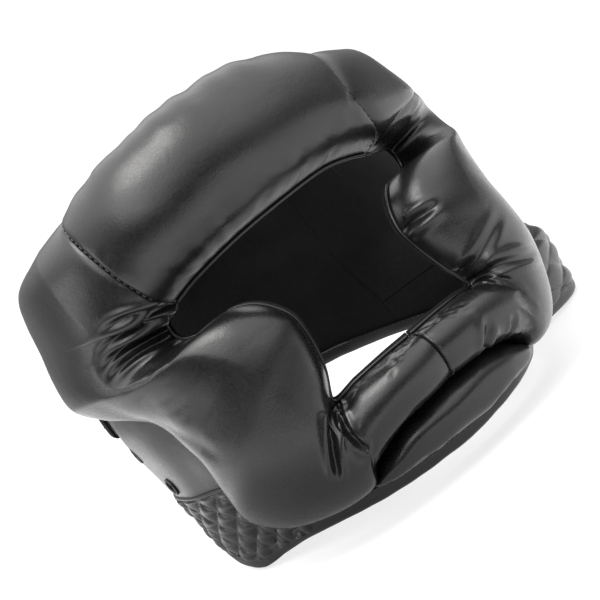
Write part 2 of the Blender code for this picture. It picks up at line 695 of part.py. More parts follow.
# ---------------------------------------------------------------- joints
def pivot(name, group, spot, parts):
    """Empty on a joint axis; the moving pieces hang from it."""
    axis = bpy.data.objects.new(name, None)
    axis.empty_display_size = 0.02
    axis.location = spot
    group.objects.link(axis)
    bpy.context.view_layer.update()
    for part in parts:
        part.parent = axis
        part.matrix_parent_inverse = axis.matrix_world.inverted()


def main():
    wipe()
    group = collection("boxing_headgear")
    cutters = collection("cutters")
    build_forehead(group)
    build_mouth_bar(group)
    build_chin(group)
    for hand, mirror in (("left", False), ("right", True)):
        build_side(group, hand, mirror)
        build_ear(group, cutters, hand, mirror)
        build_neck(group, hand, mirror)
    build_rear(group)
    build_binding(group)
    strap, hook = build_closure(group)
    pivot("closure_hinge", group, place(CLOSURE_ROOT, (CLOSURE_LOW + CLOSURE_HIGH) / 2, 5.0), (strap, hook))
    front, patch = build_crown(group)
    root = np.array(CROWN_PATH[0], float)
    pivot("crown_hinge", group, (CENTRE_X * MM, (root[0] + CENTRE_Y) * MM, (root[1] + BASE_Z + 2) * MM),
          (front, patch))


main()
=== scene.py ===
"""Boxing headgear: the finished look of every piece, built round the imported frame.

+X is the wearer's left, the face looks along -Y, +Z is up, in metres.  As in the part, every pad
is drawn on one head form: a pattern point is an angle round the head (degrees, 0 at the nose) and
a height (mm), lifted off the form by some millimetres.
"""
import math

import bmesh
import bpy
import numpy as np
from mathutils import Matrix, Vector


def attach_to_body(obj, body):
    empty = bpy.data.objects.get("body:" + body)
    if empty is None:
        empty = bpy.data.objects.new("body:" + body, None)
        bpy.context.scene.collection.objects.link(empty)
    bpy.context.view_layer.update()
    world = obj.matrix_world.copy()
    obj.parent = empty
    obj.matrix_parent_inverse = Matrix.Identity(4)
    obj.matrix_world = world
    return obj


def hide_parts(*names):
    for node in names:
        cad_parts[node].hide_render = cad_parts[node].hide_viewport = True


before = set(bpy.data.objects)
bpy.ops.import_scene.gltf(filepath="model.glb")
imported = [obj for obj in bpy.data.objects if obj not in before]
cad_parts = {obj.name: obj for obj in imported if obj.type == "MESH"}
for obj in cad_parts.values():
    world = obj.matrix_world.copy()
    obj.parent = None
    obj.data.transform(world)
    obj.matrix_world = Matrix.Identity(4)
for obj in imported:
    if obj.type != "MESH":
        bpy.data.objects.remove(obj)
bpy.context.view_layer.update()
MM = 0.001

# ---- head form and patterns, as in the part (degrees and millimetres)
FORM_POWER = 2.3
FORM_HALF_WIDTH = ((0, 86), (50, 90), (120, 92), (160, 88), (190, 79), (210, 67), (225, 50))
FORM_FRONT = ((0, 117), (30, 126), (60, 131), (100, 121), (125, 113), (150, 107),
              (175, 98), (195, 86), (210, 71), (225, 48))
FORM_BACK = ((0, 90), (50, 92), (120, 100), (160, 97), (190, 85), (210, 70), (225, 50))
FLARE_LOW = (5.0, 63.5)
FLARE_HIGH = 7.0
FLARE_FADE = (30.0, 92.0)
FLARE_FRONT = (66, 90)
FLARE_REAR = (100, 150)
FLARE_TOP = (90, 150)
FLARE_TOP_LOSS = 0.85
SLUMP = 7.0
SLUMP_FRONT = (0, 50)
SLUMP_REAR = (90, 140)
SLUMP_HEIGHTS = (125, 185)
CENTRE_X = -18.35
CENTRE_Y = 17.2
BASE_Z = 2.1
GAP = 0.3
LINING = 1.5
PAD_BASE = 2.1
FOREHEAD_FULL = 32.0
FOREHEAD_TOP_EXTRA = 4.0
FOREHEAD_END_LOSS = 0.10
SIDE_FULL = ((0.0, 30), (0.2, 31), (0.33, 33), (0.5, 34), (0.62, 32), (0.72, 28), (0.82, 24), (1.0, 22))
SEAM_END = 0.2
SIDE_REAR_LOSS = 0.45
CHIN_FULL = 19.0
REAR_FULL = 15.0
ROUND = 2.3
FOREHEAD_LOW = ((-41, 136), (-31, 140), (-15, 143.5), (0, 144.5), (13, 144), (22, 141), (30.5, 136.5))
FOREHEAD_TOP = ((-53, 191.5), (-40, 197), (-20, 200.5), (0, 201), (14, 198.5), (25, 194), (34.5, 189))
RIGHT_SEAM = ((53, 191.5), (46.5, 173), (42.5, 154), (41, 136))
LEFT_SEAM = ((34.5, 189), (27.5, 173), (24.5, 153.5), (30.5, 136.5))
FACE_OPENING = ((48, 130), (47, 120), (38, 117), (29, 118), (22.5, 112), (18.5, 101), (18.5, 90),
                (21, 74), (25, 59), (17, 60.5), (8, 61.5), (0.12, 61.5))
SIDE_OPENING = {False: LEFT_SEAM + FACE_OPENING, True: RIGHT_SEAM + FACE_OPENING}
SIDE_OUTER = ((103, 180), (104.5, 173), (105.5, 165), (106, 154), (106.5, 137), (104, 121), (90, 108),
              (72, 92), (68, 68), (68.5, 45), (67, 28), (53, 18.5), (30, 18.5), (24.2, 28),
              (12.4, 36.5), (0.12, 38.5))
CHIN_TOP = ((-29.6, 17.6), (-23.4, 27.0), (-12.0, 35.5), (0, 37.6), (12.0, 35.5), (23.4, 27.0), (29.6, 17.6))
CHIN_LOW = ((-29.6, 17.2), (-20, 15.8), (-10, 14.6), (0, 14.2), (10, 14.6), (20, 15.8), (29.6, 17.2))
EAR_FRONT_SPAN = (8.80, 1.9)
NECK_FRONT_SPAN = (10.97, 8.84)
NECK_TOP = 47.8
EAR_TOP = 166.0
WING_REAR_ANGLE = 130.0
REAR_HALF_ANGLE = 49.5
REAR_TOP = 166.0
RIM = ((0, 6.5), (25, 8.5), (55, 9.5), (72, 4.5), (84, 0), (96, 3), (112, 11), (124, 22), (140, 35),
       (160, 42), (180, 45))
VENTS = ((98, 79), (91, 57))
EAR_THICK = 3.2
BINDING_HEIGHT = 6.5
STRAP_THICK = 2.2
PATCH_THICK = 1.1
PATCH_GAP = 0.7
CLOSURE_LOW = 88.0
CLOSURE_HIGH = 136.0
CLOSURE_ROOT = 118.0
CLOSURE_TIP = 248.0
CROWN_HALF_WIDTH = 23.0
CROWN_PATH = ((-75, 197.5), (-57, 200), (-36, 200.5), (-5, 199.5), (25, 195.5), (52, 188.5),
              (72, 180.5), (87, 169.5), (96, 157.5), (100.2, 146))
CROWN_SAG = 4.0
CROWN_SUNK = 5.3
ROOT_ARCH = 3.4
ROOT_SHARE = 0.08
CROWN_FRONT_END = 0.56
CROWN_REAR_START = 0.33
HANDS = (("left", 1.0), ("right", -1.0))


def table(rows, x):
    """Smooth curve through a small dimension table."""
    rows = np.array(rows, float)
    x = np.clip(np.asarray(x, float), rows[0, 0], rows[-1, 0])
    last = len(rows) - 1
    i = np.clip(np.searchsorted(rows[:, 0], x, side="right") - 1, 0, last - 1)
    step = rows[i + 1, 0] - rows[i, 0]
    s = (x - rows[i, 0]) / step

    def slope(k):
        lo = np.clip(k - 1, 0, last)
        hi = np.clip(k + 1, 0, last)
        return (rows[hi, 1] - rows[lo, 1]) / (rows[hi, 0] - rows[lo, 0])

    m0 = slope(i) * step
    m1 = slope(i + 1) * step
    return ((2 * s**3 - 3 * s**2 + 1) * rows[i, 1] + (s**3 - 2 * s**2 + s) * m0
            + (-2 * s**3 + 3 * s**2) * rows[i + 1, 1] + (s**3 - s**2) * m1)


def ease(x, lo, hi):
    """Smooth rise from 0 to 1 between two values."""
    s = np.clip((np.asarray(x, float) - lo) / (hi - lo), 0, 1)
    return s * s * (3 - 2 * s)


def half_turn(angle):
    """The same angle between -180 and 180."""
    return (np.asarray(angle, float) + 180) % 360 - 180


def flare(angle, height):
    """How far the lower cheeks stand out from the head form."""
    turn = half_turn(angle)
    a = np.abs(turn)
    zone = ease(a, *FLARE_FRONT) * (1 - ease(a, *FLARE_REAR))
    corner = np.where(turn > 0, FLARE_LOW[1], FLARE_LOW[0])
    low = FLARE_HIGH + (corner - FLARE_HIGH) * (1 - ease(height, *FLARE_FADE))
    return zone * low * (1 - FLARE_TOP_LOSS * ease(height, *FLARE_TOP))


def place(angle, height, lift):
    """Point at a pattern position, lifted off the head form (mm in, metres out)."""
    th = np.radians(np.asarray(angle, float))
    z = np.asarray(height, float)
    s = np.sin(th)
    c = np.cos(th)

    def half(h):
        return table(FORM_HALF_WIDTH, h)

    def deep(h):
        return np.where(c > 0, table(FORM_FRONT, h), table(FORM_BACK, h))

    a = half(z)
    b = deep(z)
    x = a * np.sign(s) * np.abs(s) ** (2 / FORM_POWER)
    y = -b * np.sign(c) * np.abs(c) ** (2 / FORM_POWER)
    da = (half(z + 1) - half(z - 1)) / 2
    db = (deep(z + 1) - deep(z - 1)) / 2
    n = FORM_POWER
    gx = np.sign(x) * np.abs(x) ** (n - 1) / a**n
    gy = np.sign(y) * np.abs(y) ** (n - 1) / b**n
    gz = -(np.abs(x) ** n / a ** (n + 1) * da) - (np.abs(y) ** n / b ** (n + 1) * db)
    size = np.sqrt(gx**2 + gy**2 + gz**2)
    flat = np.sqrt(gx**2 + gy**2)
    out = flare(angle, height)
    turn = half_turn(angle)
    sunk = SLUMP * ease(turn, *SLUMP_FRONT) * (1 - ease(turn, *SLUMP_REAR)) * ease(height, *SLUMP_HEIGHTS)
    px = x + lift * gx / size + out * gx / flat + CENTRE_X
    py = y + lift * gy / size + out * gy / flat + CENTRE_Y
    pz = z + lift * gz / size - sunk + BASE_Z
    return np.stack([px, py, pz], axis=-1) * MM


def outline(points, s):
    """Smooth curve through outline points; s runs from 0 to 1."""
    p = np.array(points, float)
    last = len(p) - 1
    s = np.clip(np.asarray(s, float), 0, 1) * last
    i = np.clip(s.astype(int), 0, last - 1)
    f = (s - i)[..., None]
    p1 = p[i]
    p2 = p[i + 1]
    p0 = np.where((i == 0)[..., None], 2 * p1 - p2, p[np.clip(i - 1, 0, last)])
    p3 = np.where((i == last - 1)[..., None], 2 * p2 - p1, p[np.clip(i + 2, 0, last)])
    return 0.5 * (2 * p1 + (p2 - p0) * f + (2 * p0 - 5 * p1 + 4 * p2 - p3) * f**2
                  + (3 * p1 - p0 - 3 * p2 + p3) * f**3)


def rim_height(angle):
    return table(RIM, np.abs(half_turn(angle)))


def crown(s, power):
    """Rounded rise from 0 to 1, steep at first."""
    return (1 - np.clip(1 - s, 0, 1) ** power) ** (1 / power)


def between(inner, outer, along, across):
    """Pattern points between two outlines."""
    a = outline(inner, along)
    b = outline(outer, along)
    spot = a + (b - a) * across[..., None]
    return spot[..., 0], spot[..., 1]


def breadth(inner, outer, along):
    """Straight distance between two outlines, in millimetres."""
    a = outline(inner, along)
    b = outline(outer, along)
    gap = place(a[..., 0], a[..., 1], 0) - place(b[..., 0], b[..., 1], 0)
    return np.linalg.norm(gap, axis=-1) / MM


# ---- mesh tools
def unit(v):
    return v / np.maximum(np.linalg.norm(v, axis=-1, keepdims=True), 1e-12)


def facing(p):
    """Unit normals of a grid of points."""
    return unit(np.cross(np.gradient(p, axis=0), np.gradient(p, axis=1)))


def waves(x, y, seed, count, low, high):
    """Seeded smooth unevenness, about -1 to 1, with wavelengths from low to high (mm)."""
    rng = np.random.default_rng(seed)
    total = np.zeros(np.broadcast(x, y).shape)
    for _ in range(count):
        length = rng.uniform(low, high)
        turn = rng.uniform(0, 2 * math.pi)
        phase = rng.uniform(0, 2 * math.pi)
        total = total + np.sin(2 * math.pi * (x * math.cos(turn) + y * math.sin(turn)) / length + phase)
    return total / math.sqrt(count)


def link(name, data):
    obj = bpy.data.objects.new(name, data)
    bpy.context.scene.collection.objects.link(obj)
    return obj


def mesh_from(name, verts, faces):
    mesh = bpy.data.meshes.new(name)
    mesh.from_pydata([tuple(v) for v in verts], [], [tuple(f) for f in faces])
    mesh.update()
    return mesh


def mesh_of(name, bm):
    mesh = bpy.data.meshes.new(name)
    bm.to_mesh(mesh)
    bm.free()
    return mesh


def object_from(name, verts, faces, look):
    """Smooth-shaded closed object whose faces all look outwards."""
    mesh = mesh_from(name, verts, faces)
    bm = bmesh.new()
    bm.from_mesh(mesh)
    bmesh.ops.recalc_face_normals(bm, faces=bm.faces[:])
    if bm.calc_volume(signed=True) < 0:
        bmesh.ops.reverse_faces(bm, faces=bm.faces[:])
    bm.to_mesh(mesh)
    bm.free()
    mesh.polygons.foreach_set("use_smooth", [True] * len(mesh.polygons))
    mesh.materials.append(look)
    return link(name, mesh)


def quads(nu, nv, offset=0, wrap_u=False, wrap_v=False, flip=False):
    """Faces of a grid of points."""
    mu = nu if wrap_u else nu - 1
    mv = nv if wrap_v else nv - 1
    i, j = np.meshgrid(np.arange(mu), np.arange(mv), indexing="ij")
    k = (i + 1) % nu
    m = (j + 1) % nv
    f = np.stack([i * nv + j, k * nv + j, k * nv + m, i * nv + m], axis=-1).reshape(-1, 4) + offset
    return f[:, ::-1] if flip else f


def closed(name, top, base, look):
    """Closed form between an outer grid and the grid behind it."""
    nu, nv = top.shape[:2]
    verts = np.concatenate([top.reshape(-1, 3), base.reshape(-1, 3)])
    n = nu * nv
    index = np.arange(n).reshape(nu, nv)
    rim = np.concatenate([index[:, 0], index[-1, 1:], index[-2::-1, -1], index[0, -2:0:-1]])
    after = np.roll(rim, -1)
    wall = np.stack([rim, rim + n, after + n, after], axis=-1)
    faces = np.concatenate([quads(nu, nv), quads(nu, nv, offset=n, flip=True), wall])
    return object_from(name, verts, faces, look)


def ring_grid(path, side, up, radius, sides):
    """Circles of points round a path."""
    turn = np.arange(sides) / sides * 2 * math.pi
    ring = np.cos(turn)[None, :, None] * side[:, None, :] + np.sin(turn)[None, :, None] * up[:, None, :]
    return path[:, None, :] + ring * radius[:, None, None]


def ring_faces(count, sides, offset=0, loop=False):
    """Faces of a row of rings, capped at both ends unless it is a loop."""
    faces = [tuple(f) for f in quads(count, sides, offset, wrap_u=loop, wrap_v=True)]
    if not loop:
        last = offset + (count - 1) * sides
        faces.append(tuple(range(offset, offset + sides)))
        faces.append(tuple(range(last, last + sides)))
    return faces


CORD_SIDES = 10
CORD_STEP = 0.8
CORD_TAPER = 0.35
CORD_TIP = 0.07


def tube(name, path, radius, look, ups, loop=False):
    """Round cord along a path, with tapered ends unless it is a loop."""
    run = unit(np.roll(path, -1, 0) - np.roll(path, 1, 0)) if loop else unit(np.gradient(path, axis=0))
    side = unit(np.cross(run, ups))
    up = np.cross(side, run)
    size = np.full(len(path), radius)
    if not loop:
        path = np.concatenate([path[:1] - run[:1] * radius, path])
        side = np.concatenate([side[:1], side])
        up = np.concatenate([up[:1], up])
        size[[0, -1]] *= CORD_TAPER
        size = np.concatenate([[radius * CORD_TIP], size])
    grid = ring_grid(path, side, up, size, CORD_SIDES)
    return object_from(name, grid.reshape(-1, 3), ring_faces(len(path), CORD_SIDES, loop=loop), look)


def on_path(at, marks, points):
    """Points of a path at places measured along it."""
    return np.stack([np.interp(at, marks, points[:, k]) for k in range(3)], axis=1)


def resample(path, step, ups=None):
    """Evenly spaced points along a path, with the directions carried along."""
    d = np.concatenate([[0], np.cumsum(np.linalg.norm(np.diff(path, axis=0), axis=1))])
    s = np.linspace(0, d[-1], max(2, int(round(d[-1] / step)) + 1))
    if ups is None:
        return on_path(s, d, path)
    return on_path(s, d, path), unit(on_path(s, d, ups))


STITCH_STEP = 0.25
STITCH_SIDES = 6
STITCH_STATIONS = np.array((-1.0, -0.72, -0.36, 0.0, 0.36, 0.72, 1.0))
FINE_STITCH = {"pitch": 3.2, "length": 2.3, "radius": 0.26, "rise": 0.05}


def stitches(name, body, path, ups, pitch=3.4, length=2.5, radius=0.33, rise=0.1):
    """Row of sewn thread lengths, each dipping into the cover at both ends."""
    q, n = resample(path, STITCH_STEP * MM, ups)
    marks = np.arange(len(q))
    per = pitch / STITCH_STEP
    along = STITCH_STATIONS
    lift = (rise - 0.55 * along**4) * MM
    size = radius * MM * np.sqrt(np.clip(1.02 - along**4 * 0.7, 0.05, 1))
    verts = []
    faces = []
    for k in range(int((len(q) - 1) / per)):
        at = (k + 0.5) * per + along * length / 2 / STITCH_STEP
        spot = on_path(at, marks, q)
        up = unit(on_path(at, marks, n))
        side = unit(np.cross(unit(np.gradient(spot, axis=0)), up))
        verts.append(ring_grid(spot + up * lift[:, None], side, up, size, STITCH_SIDES).reshape(-1, 3))
        faces += ring_faces(len(along), STITCH_SIDES, k * len(along) * STITCH_SIDES)
    row = object_from(name, np.concatenate(verts), faces, THREAD)
    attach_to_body(row, body)


def to_line(x, y, points):
    """Distance (mm) of pattern points to a smooth line, and how far along it they are."""
    q = outline(points, np.linspace(0, 1, 14))
    best = np.full(np.shape(x), 1e9)
    where = np.zeros(np.shape(x))
    for k in range(len(q) - 1):
        d = q[k + 1] - q[k]
        t = np.clip(((x - q[k, 0]) * d[0] + (y - q[k, 1]) * d[1]) / (d @ d), 0, 1)
        dist = np.hypot(x - q[k, 0] - t * d[0], y - q[k, 1] - t * d[1])
        where = np.where(dist < best, (k + t) / (len(q) - 1), where)
        best = np.minimum(best, dist)
    return best, where


DEGREE = 1.9                 # millimetres per degree round the pads


def crease(angle, height, points, width, depth, ridge, fade):
    """Fold line pressed into a cover: a valley with a soft ridge on each side."""
    line = [(a * DEGREE, h) for a, h in points]
    d, t = to_line(angle * DEGREE, height, line)
    ends = ease(t, 0, fade[0]) * (1 - ease(t, 1 - fade[1], 1))
    valley = np.exp(-(d / width) ** 2)
    bank = np.exp(-((d - 2.0 * width) / (1.1 * width)) ** 2)
    return (ridge * bank - valley) * depth * ends


# ---- cloth
CLOTH_FRAMES = 20
COVER_PRESSURE = 2.0


def settle(name, grid, grow, pressure, cap):
    """Runs a cover's sheet as cloth, its outline held, and returns how far each point moves."""
    nu, nv = grid.shape[:2]
    mesh = mesh_from(name, grid.reshape(-1, 3), quads(nu, nv))
    sheet = link(name, mesh)
    pin = sheet.vertex_groups.new(name="held")
    held = np.ones((nu, nv))
    held[1:-1, 1:-1] = 0.0
    for k, weight in enumerate(held.ravel()):
        pin.add([k], float(weight), "REPLACE")
    cloth = sheet.modifiers.new("cloth", "CLOTH")
    s = cloth.settings
    s.quality = 6
    s.mass = 0.15
    s.air_damping = 4.0
    s.tension_stiffness = 25.0
    s.compression_stiffness = 25.0
    s.shear_stiffness = 15.0
    s.bending_stiffness = 1.2
    s.vertex_group_mass = "held"
    s.pin_stiffness = 1.0
    s.shrink_min = -grow
    s.use_pressure = True
    s.uniform_pressure_force = pressure
    s.effector_weights.gravity = 0.0
    cloth.collision_settings.use_collision = False
    cloth.collision_settings.use_self_collision = False
    cloth.point_cache.frame_start = 1
    cloth.point_cache.frame_end = CLOTH_FRAMES
    scene = bpy.context.scene
    for f in range(1, CLOTH_FRAMES + 1):
        scene.frame_set(f)
    run = sheet.evaluated_get(bpy.context.evaluated_depsgraph_get())
    out = np.zeros(len(mesh.vertices) * 3)
    run.data.vertices.foreach_get("co", out)
    moved = out.reshape(nu, nv, 3) - grid
    bpy.data.objects.remove(sheet)
    scene.frame_set(1)
    far = np.linalg.norm(moved, axis=-1, keepdims=True)
    return moved * np.minimum(1.0, cap * MM / np.maximum(far, 1e-9))


def finer(coarse, nu, nv):
    """Smooth upsampling of a field given on a coarse grid."""
    def line(n, m):
        s = np.linspace(0, n - 1, m)
        i = np.clip(s.astype(int), 0, n - 2)
        f = s - i
        rows = np.zeros((m, n))
        w = (-0.5 * f + f**2 - 0.5 * f**3, 1 - 2.5 * f**2 + 1.5 * f**3,
             0.5 * f + 2 * f**2 - 1.5 * f**3, -0.5 * f**2 + 0.5 * f**3)
        for k in range(4):
            np.add.at(rows, (np.arange(m), np.clip(i + k - 1, 0, n - 1)), w[k])
        return rows
    return np.einsum("ai,bj,ijk->abk", line(coarse.shape[0], nu), line(coarse.shape[1], nv), coarse)


# ---- materials
class Nodes:
    """Small helper for building a node tree."""

    def __init__(self, tree):
        self.tree = tree
        self.place = self.add("ShaderNodeTexCoord").outputs

    def feed(self, socket, value):
        """Gives a socket its value, or links another node's output to it."""
        if isinstance(value, bpy.types.NodeSocket):
            self.tree.links.new(value, socket)
        else:
            socket.default_value = value

    def add(self, kind, **inputs):
        node = self.tree.nodes.new(kind)
        for name, value in inputs.items():
            self.feed(node.inputs[name.replace("_", " ").title()], value)
        return node

    def spread(self, value, low, high, frm=0.3, to=0.7, how="LINEAR"):
        node = self.add("ShaderNodeMapRange", value=value, from_min=frm, from_max=to, to_min=low, to_max=high)
        node.interpolation_type = how
        return node.outputs["Result"]

    def math(self, how, a, b=0.0, kind="ShaderNodeMath"):
        node = self.add(kind)
        node.operation = how
        self.feed(node.inputs[0], a)
        self.feed(node.inputs[1], b)
        return node.outputs["Value"]

    def vector(self, how, a, b=(0.0, 0.0, 0.0)):
        return self.math(how, a, b, "ShaderNodeVectorMath")


class Look(Nodes):
    """One material, built round its principled shader."""

    def __init__(self, name, colour, roughness, specular=0.5, sheen=0.0, sheen_roughness=0.5):
        self.mat = bpy.data.materials.new(name)
        self.mat.use_nodes = True
        self.mat.diffuse_color = (*colour, 1.0)
        super().__init__(self.mat.node_tree)
        self.sockets = self.tree.nodes["Principled BSDF"].inputs
        self.sockets["Base Color"].default_value = (*colour, 1.0)
        self.sockets["Roughness"].default_value = roughness
        self.sockets["Specular IOR Level"].default_value = specular
        self.sockets["Sheen Weight"].default_value = sheen
        self.sockets["Sheen Roughness"].default_value = sheen_roughness
        self.height = None

    def noise(self, scale, detail=3.0, rough=0.5, twist=0.0):
        return self.add("ShaderNodeTexNoise", vector=self.place["Object"], scale=scale, detail=detail,
                        roughness=rough, distortion=twist).outputs["Fac"]

    def cells(self, scale, smooth=0.4):
        node = self.add("ShaderNodeTexVoronoi", vector=self.place["Object"], scale=scale)
        node.feature = "SMOOTH_F1"
        node.inputs["Smoothness"].default_value = smooth
        return node.outputs["Distance"]

    def tint(self, value, low, high, frm=0.35, to=0.65):
        node = self.add("ShaderNodeValToRGB", fac=value)
        for stop, at, colour in zip(node.color_ramp.elements, (frm, to), (low, high)):
            stop.position = at
            stop.color = (*colour, 1.0)
        self.feed(self.sockets["Base Color"], node.outputs["Color"])

    def gloss(self, value):
        self.feed(self.sockets["Roughness"], value)

    def bump(self, value, distance, strength):
        node = self.add("ShaderNodeBump", height=value, distance=distance, strength=strength)
        if self.height is not None:
            self.feed(node.inputs["Normal"], self.height)
        self.height = node.outputs["Normal"]
        self.feed(self.sockets["Normal"], self.height)

    def weave(self, across, along):
        """Plain weave from the piece's own cut coordinates, which are in metres."""
        split = self.add("ShaderNodeSeparateXYZ", vector=self.place["UV"]).outputs
        a = self.math("SINE", self.math("MULTIPLY", split["X"], 2 * math.pi * across))
        b = self.math("SINE", self.math("MULTIPLY", split["Y"], 2 * math.pi * along))
        return self.math("ADD", self.math("MULTIPLY", self.math("MULTIPLY", a, b), 0.5), 0.5)


def leather(name, dark, light, rough_low, rough_high, grain=1.0):
    look = Look(name, light, (rough_low + rough_high) / 2)
    look.tint(look.noise(11.0, 3.0, 0.55, 0.6), dark, light, 0.36, 0.66)
    patchy = look.spread(look.noise(26.0, 4.0, 0.6, 0.8), rough_low, rough_high, 0.34, 0.68)
    fine = look.spread(look.noise(700.0, 2.0, 0.5), -0.03, 0.03, 0.35, 0.65)
    look.gloss(look.math("ADD", patchy, fine))
    look.bump(look.noise(55.0, 4.0, 0.55, 1.2), 0.0010, 0.16 * grain)
    look.bump(look.cells(1150.0), 0.00012, 0.22 * grain)
    look.bump(look.noise(2600.0, 3.0, 0.6), 0.00005, 0.25 * grain)
    return look.mat


def cloth(name, dark, light, rough, threads, sheen, deep, specular):
    look = Look(name, light, rough, specular, sheen)
    look.tint(look.noise(40.0, 3.0, 0.6, 0.5), dark, light)
    look.gloss(look.spread(look.noise(600.0, 2.0), rough - 0.07, rough + 0.07))
    look.bump(look.weave(*threads), deep, 0.6)
    look.bump(look.noise(1500.0, 3.0, 0.6), 0.00008, 0.35)
    return look.mat


def fuzz(name, dark, light, scale, deep):
    look = Look(name, light, 0.9, 0.5, 0.35, 0.6)
    look.tint(look.cells(scale), dark, light, 0.15, 0.6)
    look.bump(look.cells(scale, 0.1), deep, 0.9)
    look.bump(look.noise(scale * 1.7, 4.0, 0.7, 2.0), deep, 0.7)
    return look.mat


def thread(name, dark, light):
    look = Look(name, light, 0.5)
    look.tint(look.noise(500.0, 2.0), dark, light)
    look.gloss(look.spread(look.noise(900.0, 2.0), 0.42, 0.6))
    look.bump(look.noise(1800.0, 2.0, 0.5, 1.5), 0.0001, 0.5)
    return look.mat


LEATHER = leather("leather_shell", (0.0045, 0.0045, 0.0047), (0.0075, 0.0075, 0.0077), 0.25, 0.35)
PANEL = leather("leather_panel", (0.0058, 0.0058, 0.0060), (0.0090, 0.0090, 0.0092), 0.28, 0.40, 1.2)
QUILTED = leather("leather_quilted", (0.0050, 0.0050, 0.0052), (0.0085, 0.0085, 0.0088), 0.22, 0.34, 1.2)
EDGE_TONES = ((0.0055, 0.0055, 0.0058), (0.009, 0.009, 0.0093))
TAPE = leather("leather_tape", *EDGE_TONES, 0.34, 0.46, 1.4)
PIPING = leather("leather_piping", *EDGE_TONES, 0.28, 0.40, 0.8)
INNER = cloth("lining_cloth", (0.0022, 0.0022, 0.0024), (0.0042, 0.0042, 0.0044), 0.8,
              threads=(620.0, 620.0), sheen=0.03, deep=0.00014, specular=0.2)
WEBBING = cloth("strap_webbing", (0.006, 0.006, 0.0064), (0.011, 0.011, 0.0114), 0.66,
                threads=(520.0, 340.0), sheen=0.05, deep=0.0003, specular=0.5)
LOOPS = fuzz("loop_pile", (0.006, 0.006, 0.0065), (0.016, 0.016, 0.017), 900.0, 0.0005)
HOOKS = fuzz("hook_pile", (0.005, 0.005, 0.0055), (0.02, 0.02, 0.021), 520.0, 0.0006)
THREAD = thread("sewing_thread", (0.018, 0.018, 0.0185), (0.05, 0.05, 0.051))


def lay_uv(obj, nu, nv, wide, tall):
    """Cut coordinates in metres for a closed form made from two grids."""
    layer = obj.data.uv_layers.new(name="cut")
    index = np.zeros(len(obj.data.loops), int)
    obj.data.loops.foreach_get("vertex_index", index)
    inside = index % (nu * nv)
    u = (inside // nv) / (nu - 1) * wide
    v = (inside % nv) / (nv - 1) * tall
    layer.data.foreach_set("uv", np.stack([u, v], axis=1).astype(np.float32).ravel())


# ---- pads
SEAM_DEEP = 1.7              # how far a sewn seam is pulled below the pad's face
SEAM_REACH = 1.5
FOREHEAD_HALF = 78.0
CENTRE_DEEP = 3.2
CENTRE_REACH = 3.6
BAR_LENGTH = 120.0


def unit_grid(nu, nv):
    u = np.linspace(0, 1, nu)[:, None] + np.zeros((1, nv))
    v = np.linspace(0, 1, nv)[None, :] + np.zeros((nu, 1))
    return u, v


def spread(v):
    return 0.5 - 0.5 * np.cos(np.pi * v)


def dome(x, power=ROUND):
    """Rounded rise and fall over a 0 to 1 range."""
    return crown(1 - np.abs(2 * x - 1), power)


def domed_lift(full, along, across, power=ROUND):
    """Lift of a pad that is rounded over on all four sides."""
    return PAD_BASE + (full - PAD_BASE) * dome(across, power) * dome(along, power)


def forehead_spot(along, across):
    """Pattern point on the forehead piece, whose ends follow the two temple seams."""
    angle, height = between(FOREHEAD_LOW, FOREHEAD_TOP, along, across)
    share = ease(along, 0.0, 1.0)
    for sign, mirror, weight in ((-1.0, True, 1 - share), (1.0, False, share)):
        seam = outline(SIDE_OPENING[mirror], (1 - across) * SEAM_END)
        end = np.full(np.shape(along), 0.5 + 0.5 * sign)
        square = between(FOREHEAD_LOW, FOREHEAD_TOP, end, across)
        angle = angle + weight * (sign * seam[..., 0] - square[0])
        height = height + weight * (seam[..., 1] - square[1])
    return angle, height


def forehead_shape(nu, nv):
    along, v = unit_grid(nu, nv)
    across = spread(v)
    angle, height = forehead_spot(along, across)
    end = np.abs(2 * along - 1)
    full = (FOREHEAD_FULL + FOREHEAD_TOP_EXTRA * across) * (1 - FOREHEAD_END_LOSS * end**3)
    away = (1 - end) * FOREHEAD_HALF
    lift = PAD_BASE + (full - PAD_BASE - SEAM_DEEP * np.exp(-away / SEAM_REACH)) * dome(across)
    return angle, height, lift


def side_shape(nu, nv, mirror):
    along, v = unit_grid(nu, nv)
    across = spread(v)
    opening = SIDE_OPENING[mirror]
    width = breadth(opening, SIDE_OUTER, along)
    angle, height = between(opening, SIDE_OUTER, along, across)
    up_seam = np.clip(1 - along / SEAM_END, 0, 1)
    matched = (FOREHEAD_FULL + FOREHEAD_TOP_EXTRA * up_seam) * (1 - FOREHEAD_END_LOSS)
    own = table(SIDE_FULL, along)
    full = own + (matched - own) * (1 - ease(across, 0, 0.4)) * (1 - ease(along, 0.15, 0.25))
    rear = np.clip((across - 0.25) / 0.75, 0, 1) * np.clip((0.8 - along) / 0.25, 0, 1)
    full = full * (1 - SIDE_REAR_LOSS * rear)
    sewn = (1 - ease(along, 0.17, 0.215)) * np.exp(-across * width / SEAM_REACH)
    centre = np.exp(-(1 - along) * BAR_LENGTH / CENTRE_REACH)
    full = full - SEAM_DEEP * sewn - CENTRE_DEEP * centre
    at_seam = dome(up_seam)
    section = at_seam + (crown(along / 0.10, ROUND) - at_seam) * crown(2 * across, ROUND)
    lift = PAD_BASE + (full - PAD_BASE) * section * crown(2 * (1 - across), ROUND)
    return np.where(mirror, -angle, angle), height, lift


def chin_shape(nu, nv):
    u, v = unit_grid(nu, nv)
    along = spread(u)
    across = spread(v)
    angle, height = between(CHIN_LOW, CHIN_TOP, along, across)
    return angle, height, domed_lift(CHIN_FULL, along, across)


